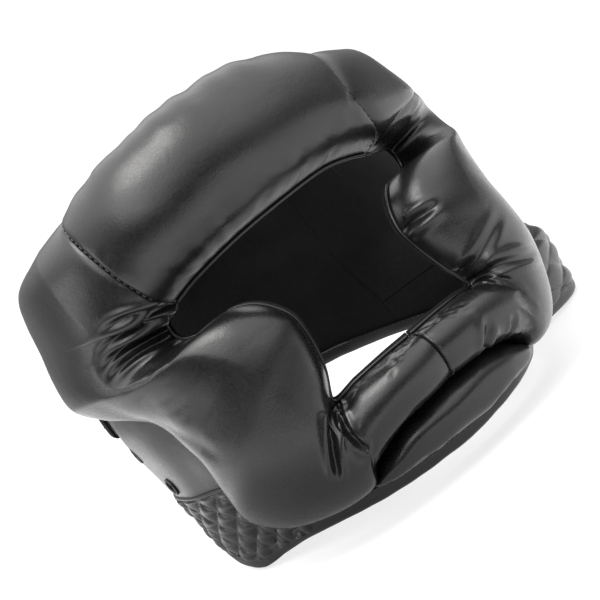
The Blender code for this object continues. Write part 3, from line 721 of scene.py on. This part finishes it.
def rear_shape(nu, nv):
    u, v = unit_grid(nu, nv)
    along = spread(u)
    across = spread(v)
    angle = 180 - REAR_HALF_ANGLE + 2 * REAR_HALF_ANGLE * along
    low = rim_height(angle) + BINDING_HEIGHT + 0.8
    height = low + (REAR_TOP - low) * across
    return angle, height, domed_lift(REAR_FULL, along, across, ROUND + 1)


def attach(obj, body, nodes):
    """The piece rides a body and stands for its nodes."""
    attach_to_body(obj, body)
    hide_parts(*nodes)


def make_pad(name, nodes, shape, coarse, fine, detail, calm, fill, grow, cap, *extra):
    """One stuffed piece: its shape, the cloth's movement and its creases, closed at the lining."""
    outward = place(*shape(*coarse, *extra))
    middle = (coarse[0] // 2, coarse[1] // 2)
    away = outward[middle] - np.array((CENTRE_X, CENTRE_Y, 0.0)) * MM
    outside = float(np.sign(np.dot(facing(outward)[middle][:2], away[:2])))
    moved = settle(name + "_sheet", outward, grow, COVER_PRESSURE * outside, cap)
    angle, height, lift = shape(*fine, *extra)
    top = place(angle, height, lift) + finer(moved, *fine) * calm(height)[..., None]
    top = top + facing(top) * outside * detail(angle, height, lift)[..., None] * MM
    base = place(angle, height, np.minimum(lift, LINING + 0.2))
    attach(closed(name, top, base, LEATHER), "shell", nodes)
    return top, facing(top) * outside


# how much of the cloth's own movement each pad keeps
def forehead_calm(height):
    return 0.2 + 0.2 * ease(height, 150, 185)


def side_calm(height):
    return 0.3 + 0.25 * (1 - ease(height, 60, 90))


def even_calm(height):
    return 0.7 + 0 * height


def forehead_detail(angle, height, lift):
    x = angle * DEGREE
    broad = 0.5 * waves(x, height, 11, 9, 30, 70) * ease(lift, 8, 26)
    top = 0.55 * waves(x, height * 0.25, 12, 8, 10, 24) * ease(height, 178, 198) * ease(lift, 3, 14)
    low = 0.2 * waves(x, height * 0.3, 13, 7, 8, 20) * (1 - ease(height, 146, 156)) * ease(lift, 3, 12)
    return broad + top + low


# each fold: pattern points (deg, mm), half width, depth, ridge, fades at the two ends
RIGHT_FOLDS = (
    (((-40, 134), (-44, 138.5), (-49, 141), (-55, 141.5)), 1.5, 2.6, 0.55, (0.02, 0.5)),
    (((-42, 131), (-47, 135), (-53, 136.5), (-60, 135)), 1.4, 2.4, 0.6, (0.02, 0.5)),
    (((-44, 127.5), (-49, 130.5), (-55, 131), (-62, 128)), 1.4, 2.3, 0.6, (0.02, 0.5)),
    (((-46, 123), (-51, 125.5), (-57, 125), (-62, 121)), 1.5, 1.8, 0.5, (0.02, 0.55)),
    (((-25, 59), (-28, 52), (-30.5, 44), (-32, 37)), 1.4, 2.8, 0.5, (0.02, 0.3)),
    (((-24, 59), (-24.5, 52), (-24, 45), (-22.5, 39)), 1.3, 2.2, 0.5, (0.02, 0.4)),
    (((-66, 96), (-58, 88), (-53, 76), (-50, 62)), 5.0, 0.8, 0.3, (0.3, 0.3)))
LEFT_FOLDS = (
    (((46, 131), (49, 133), (52, 134.5), (56, 135)), 1.3, 1.2, 0.4, (0.02, 0.6)),
    (((47, 127.5), (51, 128.5), (54, 128.5), (58, 127.5)), 1.2, 1.0, 0.4, (0.02, 0.6)),
    (((24, 61), (29, 58), (35, 54.5), (42, 52)), 1.6, 2.0, 0.7, (0.02, 0.55)),
    (((22, 66), (26, 69), (31, 72), (36, 74)), 1.8, 1.2, 0.6, (0.02, 0.6)),
    (((18, 98), (21, 95.5), (24, 94.5)), 2.0, 2.2, 0.6, (0.02, 0.6)),
    (((9, 40), (9.5, 44), (11, 48), (13, 51)), 1.8, 1.8, 0.6, (0.02, 0.5)),
    (((16, 34), (17, 38), (18, 42), (19, 46)), 1.5, 1.2, 0.6, (0.02, 0.5)))


def side_detail(angle, height, lift):
    d = 0.45 * waves(angle * DEGREE, height, 21, 9, 34, 75) * ease(lift, 8, 24)
    for fold in LEFT_FOLDS if angle.mean() > 0 else RIGHT_FOLDS:
        d = d + crease(angle, height, *fold) * ease(lift, 1.5, 5)
    return d


def chin_detail(angle, height, lift):
    return 0.3 * waves(angle * DEGREE, height, 31, 7, 14, 34) * ease(lift, 4, 12)


def rear_detail(angle, height, lift):
    return 0.6 * waves(angle * DEGREE, height, 41, 9, 20, 50) * ease(lift, 4, 12)


forehead_top, forehead_normals = make_pad(
    "forehead_pad", ("forehead_cover", "forehead_foam"), forehead_shape, (60, 30), (230, 110),
    forehead_detail, forehead_calm, 0.8, 0.015, 5.0)
side_faces = {}
for hand, sign in HANDS:
    bar_nodes = ("mouth_bar_foam",) if hand == "left" else ()
    side_faces[hand] = make_pad(
        hand + "_side_pad", (hand + "_side_cover", hand + "_side_foam") + bar_nodes, side_shape,
        (96, 26), (420, 100), side_detail, side_calm, 0.8, 0.015, 4.0, sign < 0)
make_pad("chin_pad", ("chin_cover", "chin_foam"), chin_shape, (36, 16), (130, 60),
         chin_detail, even_calm, 0.75, 0.01, 2.0)
make_pad("rear_pad", ("rear_cover", "rear_foam"), rear_shape, (44, 34), (130, 110),
         rear_detail, even_calm, 0.7, 0.015, 3.0)


# ---- linings
HALF_LINING = 0.75
LIP = 2.6                    # how far a lining reaches past its pad at the face opening


def both(v):
    """Distance from the nearer end of a 0 to 1 range."""
    return np.minimum(v, 1 - v)


def rolled(rest, share, power=2.0):
    """Rounded rise from 0 to 1 within a share of the width from an edge."""
    return crown(np.minimum(rest / share, 1), power)


def make_lining(node, angle, height, edge, wide, tall):
    inner = HALF_LINING - HALF_LINING * edge
    outer = HALF_LINING + HALF_LINING * edge
    soft = 0.35 * waves(angle * DEGREE, height, 51, 8, 18, 50) * ease(outer - inner, 0.5, 1.5)
    obj = closed(node + "_cloth", place(angle, height, outer), place(angle, height, inner + soft), INNER)
    lay_uv(obj, *angle.shape, wide, tall)
    attach(obj, "shell", (node,))


def forehead_lining():
    u, v = unit_grid(90, 40)
    width = breadth(FOREHEAD_LOW, FOREHEAD_TOP, u)
    lip = LIP * (1 - ease(np.abs(2 * u - 1), 0.80, 0.97))
    angle, height = forehead_spot(u, -lip / width + v * (1 + lip / width))
    make_lining("forehead_lining", angle, height, rolled(both(v), 0.03), 0.17, 0.055)


def side_lining(hand, sign):
    u, v = unit_grid(220, 46)
    opening = SIDE_OPENING[sign < 0]
    width = breadth(opening, SIDE_OUTER, u)
    lip = LIP * ease(u, 0.21, 0.26)
    angle, height = between(opening, SIDE_OUTER, u, -lip / width + v * (1 + lip / width))
    reach = ease(v, 0.6, 1.0) * ease(u, 0.715, 0.735) * (1 - ease(u, 0.797, 0.803))
    low = (u > 0.72) & (u < 0.80)
    height = np.where(low, height + (rim_height(angle) - height) * reach, height)
    make_lining(hand + "_side_lining", sign * angle, height, rolled(both(v), 0.03), 0.36, 0.09)


def chin_lining():
    u, v = unit_grid(70, 20)
    along = 0.01 + 0.98 * spread(u)
    low = outline(CHIN_LOW, along)
    top = outline(CHIN_TOP, along)
    angle = low[..., 0] + (top[..., 0] - low[..., 0]) * v
    height = rim_height(angle) + (top[..., 1] - 0.3 - rim_height(angle)) * v
    make_lining("chin_lining", angle, height, rolled(1 - v, 0.06), 0.11, 0.03)


def chin_facing():
    """Strip of lining behind the joint between the mouth bar and the chin pad."""
    u, v = unit_grid(90, 12)
    top = outline(CHIN_TOP, u)
    angle = top[..., 0] * (0.96 + 0.08 * v)
    height = top[..., 1] - 3 + 9 * v
    lift = -0.2 - 0.5 * v
    strip = closed("chin_facing", place(angle, height, lift), place(angle, height, lift - 0.7), INNER)
    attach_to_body(strip, "shell")


def rear_lining():
    u, v = unit_grid(80, 60)
    angle = 180 - REAR_HALF_ANGLE + 2 * REAR_HALF_ANGLE * u
    height = rim_height(angle) + (REAR_TOP - rim_height(angle)) * v
    make_lining("rear_lining", angle, height, rolled(1 - v, 0.03), 0.17, 0.14)


forehead_lining()
for hand, sign in HANDS:
    side_lining(hand, sign)
chin_lining()
chin_facing()
rear_lining()


# ---- ear and neck panels
WING_END = WING_REAR_ANGLE + 0.8
NECK_BEND = 0.4
QUILT_DEGREE = 1.75
QUILT_PITCH = 15.0
QUILT_SHARPNESS = 0.55
VENT_RADIUS = 4.4


def beyond_side_pad(span, u):
    """Line just under the side pad's outer edge."""
    along = (span[0] + (span[1] - span[0]) * u) / (len(SIDE_OUTER) - 1)
    opening = SIDE_OPENING[False]
    width = breadth(opening, SIDE_OUTER, along)
    return between(opening, SIDE_OUTER, along, 1 - 1.5 / width)


def ear_spot(u, v):
    foot = NECK_TOP + 0.3
    angle, height = beyond_side_pad(EAR_FRONT_SPAN, u)
    height = height + (foot - height) * (1 - ease(u, 0.0, 0.06))
    rear = foot + (EAR_TOP - NECK_TOP - 0.3) * u
    return angle + (WING_END - angle) * v, height + (rear - height) * v


def back_with_cloth(obj):
    """The face towards the head is the lining cloth."""
    obj.data.materials.append(INNER)
    centre = Vector((CENTRE_X * MM, CENTRE_Y * MM, 0.0))
    for face in obj.data.polygons:
        out = face.center - centre
        out.z = 0.0
        if face.normal.dot(out.normalized()) < -0.3:
            face.material_index = len(obj.data.materials) - 1


def punch_vent(panel, low, high):
    """Cuts a round hole through the panel between two points."""
    bm = bmesh.new()
    bmesh.ops.create_cone(bm, cap_ends=True, segments=48, radius1=VENT_RADIUS * MM, radius2=VENT_RADIUS * MM,
                          depth=20 * MM)
    punch = link("punch", mesh_of("punch", bm))
    punch.rotation_mode = "QUATERNION"
    punch.rotation_quaternion = (high - low).to_track_quat("Z", "Y")
    punch.location = (low + high) / 2
    cut = panel.modifiers.new("vent", "BOOLEAN")
    cut.operation = "DIFFERENCE"
    cut.solver = "EXACT"
    cut.object = punch
    bpy.context.view_layer.update()
    done = bpy.data.meshes.new_from_object(panel.evaluated_get(bpy.context.evaluated_depsgraph_get()))
    panel.modifiers.clear()
    panel.data = done
    bpy.data.objects.remove(punch)


def vent_edge(name, middle, axis):
    """Rolled lip round a vent."""
    across = axis.orthogonal().normalized()
    other = axis.cross(across)
    turns = np.linspace(0, 2 * math.pi, 49)[:-1]
    reach = (VENT_RADIUS + 0.1) * MM
    ring = np.array([middle + reach * (math.cos(t) * across + math.sin(t) * other) for t in turns])
    lip = tube(name, ring, 0.75 * MM, PANEL, np.array([axis] * len(ring)), True)
    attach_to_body(lip, "shell")


def build_ear(hand, sign):
    u, v = unit_grid(120, 80)
    angle, height = ear_spot(u, v)
    rounded = rolled(both(u), 0.03) * rolled(both(v), 0.04)
    soft = 0.5 * waves(angle * DEGREE, height, 61, 8, 22, 60) * rounded
    top = place(sign * angle, height, 1.2 + (EAR_THICK - 0.8) * rounded + soft)
    base = place(sign * angle, height, 0.6 - 0.6 * rounded)
    panel = closed(hand + "_ear_leather", top, base, PANEL)
    for number, (a, h) in enumerate(VENTS):
        low, middle, high = (Vector(place(sign * a, h, lift)) for lift in (-8.0, EAR_THICK + 0.4, 12.0))
        punch_vent(panel, low, high)
        vent_edge("%s_vent_%d_edge" % (hand, number + 1), middle, (high - low).normalized())
    back_with_cloth(panel)
    attach(panel, "shell", (hand + "_ear_panel",))


def neck_spot(u, v):
    front, high = beyond_side_pad(NECK_FRONT_SPAN, np.clip(u / NECK_BEND, 0, 1))
    front = front + (WING_END - front) * np.clip((u - NECK_BEND) / (1 - NECK_BEND), 0, 1)
    high = np.where(u < NECK_BEND + 0.001, high, NECK_TOP)
    first = beyond_side_pad(NECK_FRONT_SPAN, 0.0 * u)[0]
    foot = first + (WING_END - first) * u
    base = rim_height(foot)
    return foot + (front - foot) * v, base + (high - base) * v


def build_neck(hand, sign):
    u, v = unit_grid(260, 110)
    angle, height = neck_spot(u, v)
    x = angle * QUILT_DEGREE
    puff = 1.0
    for line in (x + height, x - height):
        puff = puff * np.abs(np.sin(np.pi * line / QUILT_PITCH)) ** QUILT_SHARPNESS
    edge = rolled(both(u), 0.02) * rolled(1 - v, 0.05) * ease(v, 0.0, 0.12)
    soft = 0.25 * waves(x, height, 71, 7, 15, 40)
    top = place(sign * angle, height, LINING + 0.2 + (0.9 + 2.3 * puff + soft) * edge)
    panel = closed(hand + "_neck_quilt", top, place(sign * angle, height, 0.0), QUILTED)
    back_with_cloth(panel)
    attach(panel, "shell", (hand + "_neck_panel",))


for hand, sign in HANDS:
    build_ear(hand, sign)
    build_neck(hand, sign)


# ---- rim binding
BINDING_OUT = LINING + 2.1
BINDING_IN = -2.1
BINDING_STATIONS = 720
RIM_STITCH_HEIGHT = 4.7


def binding_profile():
    """Section of the folded tape: (lift, height) points, out over the rim and back inside it."""
    out = BINDING_OUT
    into = BINDING_IN
    mid = (out + into) / 2
    half = (out - into) / 2
    top = BINDING_HEIGHT
    outside = [(out - 0.1, top), (out + 0.15, top - 0.6), (out + 0.1, 4.2), (out, 2.4)]
    under = [(mid + half * math.cos(t), 1.0 - 2.9 * math.sin(t)) for t in np.linspace(0, math.pi, 9)]
    inside = [(into, 2.4), (into - 0.1, 4.2), (into, top - 1.2), (into + 0.5, top - 0.8), (into + 0.9, 4.0)]
    back = [(into + 1.0, 1.4), (mid, -0.7), (out - 1.0, 1.4), (out - 0.9, 4.2), (out - 0.7, top)]
    return np.array(outside + under + inside + back)


def build_binding():
    angle = np.linspace(-179.9, 179.9, BINDING_STATIONS)
    profile = binding_profile()
    wobble = 0.16 * waves(angle * DEGREE, 0 * angle, 81, 7, 12, 45)
    waver = 0.12 * waves(angle * DEGREE, 0 * angle, 82, 7, 12, 45)
    lift = profile[None, :, 0] + wobble[:, None]
    rise = profile[None, :, 1] + waver[:, None]
    grid = place(angle[:, None] + 0 * lift, rim_height(angle)[:, None] + rise, lift)
    tape = object_from("rim_binding", grid.reshape(-1, 3), ring_faces(len(angle), len(profile)), TAPE)
    attach(tape, "shell", ("bottom_binding",))
    height = rim_height(angle) + RIM_STITCH_HEIGHT
    for side, lift, turned in (("outside", BINDING_OUT + 0.12, 1.0), ("inside", BINDING_IN - 0.12, -1.0)):
        path = place(angle, height, lift + wobble)
        beyond = place(angle, height, lift + 3.0)
        stitches("rim_stitches_" + side, "shell", path, unit(beyond - path) * turned, **FINE_STITCH)


build_binding()


# ---- straps
EDGE_COLUMN = 4              # grid column, in from each edge, that a strap's stitches follow


def soft_strap(name, top, base, wide, tall, look, body, node):
    obj = closed(name, top, base, look)
    lay_uv(obj, *top.shape[:2], wide, tall)
    attach(obj, body, (node,))


def edge_stitches(name, body, top, ups):
    """A row of stitches along both edges of a strap."""
    for tag, column in (("low", EDGE_COLUMN), ("high", -1 - EDGE_COLUMN)):
        stitches(name + "_stitches_" + tag, body, top[:, column], ups[:, column], **FINE_STITCH)


def closure_lift(angle):
    turn = np.asarray(angle, float)
    rest = EAR_THICK + 2 * GAP + np.where(turn > 180, PATCH_THICK * 2 + 2 * GAP, 0.0)
    return rest + (REAR_FULL + 0.8 - rest) * (1 - ease(np.abs(turn - 180), 40, 56))


def closure_band():
    u, v = unit_grid(240, 40)
    angle = CLOSURE_ROOT + (CLOSURE_TIP - CLOSURE_ROOT) * u
    narrowing = 1 - 0.45 * (1 - rolled(1 - u, 0.045, 2.6))
    height = CLOSURE_LOW + (CLOSURE_HIGH - CLOSURE_LOW) * (0.5 + (v - 0.5) * narrowing)
    edge = rolled(both(v), 0.035)
    rise = closure_lift(angle) + 0.35 * waves(angle * DEGREE, height, 91, 6, 40, 90)
    middle = STRAP_THICK / 2
    top = place(angle, height, rise + middle + middle * edge)
    base = place(angle, height, rise + middle - middle * edge)
    soft_strap("closure_band", top, base, 0.20, 0.052, WEBBING, "closure", "closure_strap")
    edge_stitches("closure", "closure", top[4:], unit(place(angle, height, rise + 9) - base)[4:])


def closure_patch(name, body, node, inset, look):
    """Patch near the strap's tip: hooks on the strap, loops on the ear panel."""
    u, v = unit_grid(30, 40)
    angle = CLOSURE_TIP - 12 + 11 * u
    height = CLOSURE_LOW + inset + (CLOSURE_HIGH - CLOSURE_LOW - 2 * inset) * v
    rise = closure_lift(angle) - GAP - PATCH_THICK if look is HOOKS else EAR_THICK + 2 * GAP
    soft_strap(name, place(angle, height, rise + PATCH_THICK), place(angle, height, rise), 0.02, 0.048,
               look, body, node)


def crown_surface(start, end, lift, half_width):
    u, v = unit_grid(140, 36)
    s = start + (end - start) * u
    spot = outline(CROWN_PATH, s)
    run = unit(outline(CROWN_PATH, np.clip(s + 0.01, 0, 1)) - outline(CROWN_PATH, np.clip(s - 0.01, 0, 1)))
    side = 2 * v - 1
    height = lift - CROWN_SUNK - CROWN_SAG * side**2
    arch = ROOT_ARCH * (1 - side**2) * np.clip(1 - s / ROOT_SHARE, 0, 1)
    x = half_width * side + CENTRE_X
    y = spot[..., 0] - arch - run[..., 1] * height + CENTRE_Y
    z = spot[..., 1] + run[..., 0] * height + BASE_Z
    return np.stack([x, y, z], axis=-1) * MM


def crown_layer(name, body, node, start, end, lift, thick, half, look):
    edge = rolled(both(unit_grid(140, 36)[1]), 0.04)
    top = crown_surface(start, end, lift + thick / 2 + thick / 2 * edge, half)
    base = crown_surface(start, end, lift + thick / 2 - thick / 2 * edge, half)
    soft_strap("crown_" + name, top, base, 0.17 * (end - start), 2 * half * MM, look, body, "crown_" + node)
    if look is WEBBING:
        ups = unit(crown_surface(start, end, lift + 9, half) - base)
        edge_stitches("crown_" + name, body, top[3:-3], ups[3:-3])


def build_crown():
    loops = STRAP_THICK + PATCH_GAP
    hooks = loops + PATCH_THICK + PATCH_GAP
    front = hooks + PATCH_THICK + PATCH_GAP
    low = CROWN_REAR_START
    high = CROWN_FRONT_END
    half = CROWN_HALF_WIDTH
    thin = PATCH_THICK
    for row in (
            ("band_front", "crown_flap", "front_strap", 0.0, high, front, STRAP_THICK, half, WEBBING),
            ("hooks", "crown_flap", "hook_patch", low + 0.03, high - 0.02, hooks, thin, half - 2.5, HOOKS),
            ("loops", "shell", "loop_patch", low + 0.02, high + 0.04, loops, thin, half - 2.0, LOOPS),
            ("band_rear", "shell", "rear_strap", low, 1.0, 0.0, STRAP_THICK, half, WEBBING)):
        crown_layer(*row)


closure_band()
closure_patch("closure_hooks", "closure", "closure_hook_patch", 3, HOOKS)
closure_patch("closure_loops", "shell", "closure_loop_patch", 1, LOOPS)
build_crown()


# ---- seams of the pads
for hand, column in (("left", -2), ("right", 1)):
    stitches("temple_seam_" + hand, "shell", forehead_top[column, 4:-4], forehead_normals[column, 4:-4])
left_top, left_normals = side_faces["left"]
stitches("mouth_bar_seam", "shell", left_top[-2, 4:-4], left_normals[-2, 4:-4])


def cord_along(name, angle, height, lift, radius):
    angle, height = np.broadcast_arrays(angle, height)
    path = resample(place(angle, height, lift), CORD_STEP * MM)
    ups = unit(path - np.array((CENTRE_X, CENTRE_Y, 0.0)) * MM - np.outer(path[:, 2], (0.0, 0.0, 1.0)))
    cord = tube(name, path, radius * MM, PIPING, ups)
    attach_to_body(cord, "shell")


def side_pipings(hand, sign):
    first = beyond_side_pad(EAR_FRONT_SPAN, 0.0)[0]
    angle = np.linspace(first, WING_REAR_ANGLE, 120)
    cord_along(hand + "_neck_seam_piping", sign * angle, NECK_TOP, 2.9, 1.15)
    s = np.linspace(NECK_FRONT_SPAN[0], EAR_FRONT_SPAN[1], 260) / (len(SIDE_OUTER) - 1)
    edge = outline(SIDE_OUTER, s)
    cord_along(hand + "_side_edge_piping", sign * edge[..., 0], edge[..., 1], 3.4, 0.9)
    s = np.linspace(SEAM_END + 0.004, 0.9995, 420)
    opening = SIDE_OPENING[sign < 0]
    outward = 0.7 / breadth(opening, SIDE_OUTER, s)
    angle, height = between(opening, SIDE_OUTER, s, -outward)
    cord_along(hand + "_opening_piping", sign * angle, height, 2.0, 0.75)


def rear_piping(hand, sign):
    height = np.linspace(rim_height(WING_REAR_ANGLE) + 7.5, EAR_TOP - 1, 120)
    cord_along(hand + "_rear_seam_piping", sign * WING_REAR_ANGLE, height, 2.6, 1.2)


for hand, sign in HANDS:
    side_pipings(hand, sign)
low = outline(FOREHEAD_LOW, np.linspace(0.004, 0.996, 240))
cord_along("forehead_opening_piping", low[..., 0], low[..., 1] - 0.8, 2.1, 0.8)
for hand, sign in HANDS:
    rear_piping(hand, sign)


# ---- floor, light and camera
FLOOR_HALF = 6.0
FLOOR_Z = -0.0008
FLOOR_SEEN = 0.72            # glow of the floor itself
FLOOR_CAST = 1.1             # glow that it throws on the headgear
LIT_SIDE = (0.966, -0.26, 0.0)
WHITE = (1.0, 1.0, 1.0, 1.0)
AZIMUTH = math.radians(-19.2)
ELEVATION = math.radians(5.9)
ROLL = math.radians(37.0)
DISTANCE = 0.79
LENS = 91.5
AIM = Vector((CENTRE_X * MM, -0.0008, 0.1021))
AIM_SHIFT = Vector((0.0119, -0.0005, 0.0))
LIT_SPOT = Vector((0.0, 0.0, 0.12))
# name, place, width, height, power, colour
LIGHTS = (
    ("key", (-0.29, -0.39, 1.32), 0.6, 0.6, 8.5, (1.0, 0.985, 0.96)),
    ("left_strip", (-1.2, 0.4, 0.4), 0.45, 0.5, 1.6, (1.0, 1.0, 1.0)),
    ("front_fill", (-0.75, -0.6, 1.0), 0.8, 0.8, 3.5, (1.0, 1.0, 1.0)))
DIM_WAY = (-0.583, -0.694, -0.423)
ROOM = (0.4, 0.08)           # strength round the room, and the least of it along DIM_WAY
CEILING = 2.1
BACKDROP = 1.1


def floor_look():
    """Pale floor that glows evenly where it is seen and throws light on the piece."""
    look = Look("pale_floor", (0.3, 0.3, 0.3), 0.9, 0.1)
    look.tint(look.noise(3.0), (0.27, 0.27, 0.27), (0.30, 0.30, 0.30))
    look.bump(look.noise(120.0), 0.0004, 0.1)
    seen = look.add("ShaderNodeLightPath").outputs["Is Camera Ray"]
    far = look.vector("LENGTH", look.place["Object"])
    side = look.vector("DOT_PRODUCT", look.place["Object"], LIT_SIDE)
    fading = look.spread(far, 1.0, 0.0, 0.7, 1.0)
    ring = look.math("MULTIPLY", look.spread(far, 0.0, FLOOR_CAST, 0.2, 0.34), fading)
    cast = look.math("MAXIMUM", look.spread(side, 0.05, FLOOR_CAST, -0.1, 0.08), ring)
    cast = look.math("MULTIPLY", look.math("SUBTRACT", 1.0, seen), cast)
    glow = look.math("ADD", look.math("MULTIPLY", seen, FLOOR_SEEN), cast)
    look.sockets["Emission Color"].default_value = WHITE
    look.feed(look.sockets["Emission Strength"], glow)
    return look.mat


def build_floor():
    bm = bmesh.new()
    bmesh.ops.create_grid(bm, x_segments=2, y_segments=2, size=FLOOR_HALF)
    floor = link("floor", mesh_of("floor", bm))
    floor.data.materials.append(floor_look())
    floor.location.z = FLOOR_Z


def rolled_view(back):
    """Rotation of a camera that looks against a direction, rolled about its view."""
    return (-back).to_track_quat("-Z", "Y").to_matrix() @ Matrix.Rotation(-ROLL, 3, "Z")


def build_camera():
    flat = math.cos(ELEVATION)
    back = Vector((math.sin(AZIMUTH) * flat, -math.cos(AZIMUTH) * flat, math.sin(ELEVATION)))
    lens = bpy.data.cameras.new("camera")
    lens.sensor_width = 36.0
    lens.lens = LENS
    lens.clip_end = 50.0
    camera = link("camera", lens)
    camera.location = AIM + back * DISTANCE
    aim = AIM + rolled_view(back) @ AIM_SHIFT
    camera.rotation_euler = rolled_view((camera.location - aim).normalized()).to_euler()
    bpy.context.scene.camera = camera


def softbox(name, spot, wide, tall, power, colour):
    light = bpy.data.lights.new(name, "AREA")
    light.shape = "RECTANGLE"
    light.size = wide
    light.size_y = tall
    light.energy = power
    light.color = colour
    obj = link(name, light)
    obj.location = spot
    obj.rotation_euler = (LIT_SPOT - Vector(spot)).to_track_quat("-Z", "Y").to_euler()


def build_world():
    """Grey room with a bright ceiling, behind which the camera sees white."""
    world = bpy.data.worlds.new("studio")
    world.use_nodes = True
    room = Nodes(world.node_tree)
    way = room.place["Generated"]
    fall = room.spread(room.vector("DOT_PRODUCT", way, DIM_WAY), *ROOM, 0.1, 0.85, "SMOOTHSTEP")
    up = room.add("ShaderNodeSeparateXYZ", vector=way).outputs["Z"]
    ceiling = room.spread(up, 0.0, CEILING, 0.25, 0.75, "SMOOTHSTEP")
    around = room.tree.nodes["Background"]
    around.inputs["Color"].default_value = WHITE
    room.feed(around.inputs["Strength"], room.math("ADD", fall, ceiling))
    bright = room.add("ShaderNodeBackground", color=WHITE, strength=BACKDROP)
    seen = room.add("ShaderNodeLightPath").outputs["Is Camera Ray"]
    mix = room.add("ShaderNodeMixShader", fac=seen)
    room.feed(mix.inputs[1], around.outputs[0])
    room.feed(mix.inputs[2], bright.outputs[0])
    room.feed(room.tree.nodes["World Output"].inputs["Surface"], mix.outputs[0])
    bpy.context.scene.world = world


build_floor()
build_camera()
for row in LIGHTS:
    softbox(*row)
build_world()
bpy.context.scene.view_settings.view_transform = "Standard"
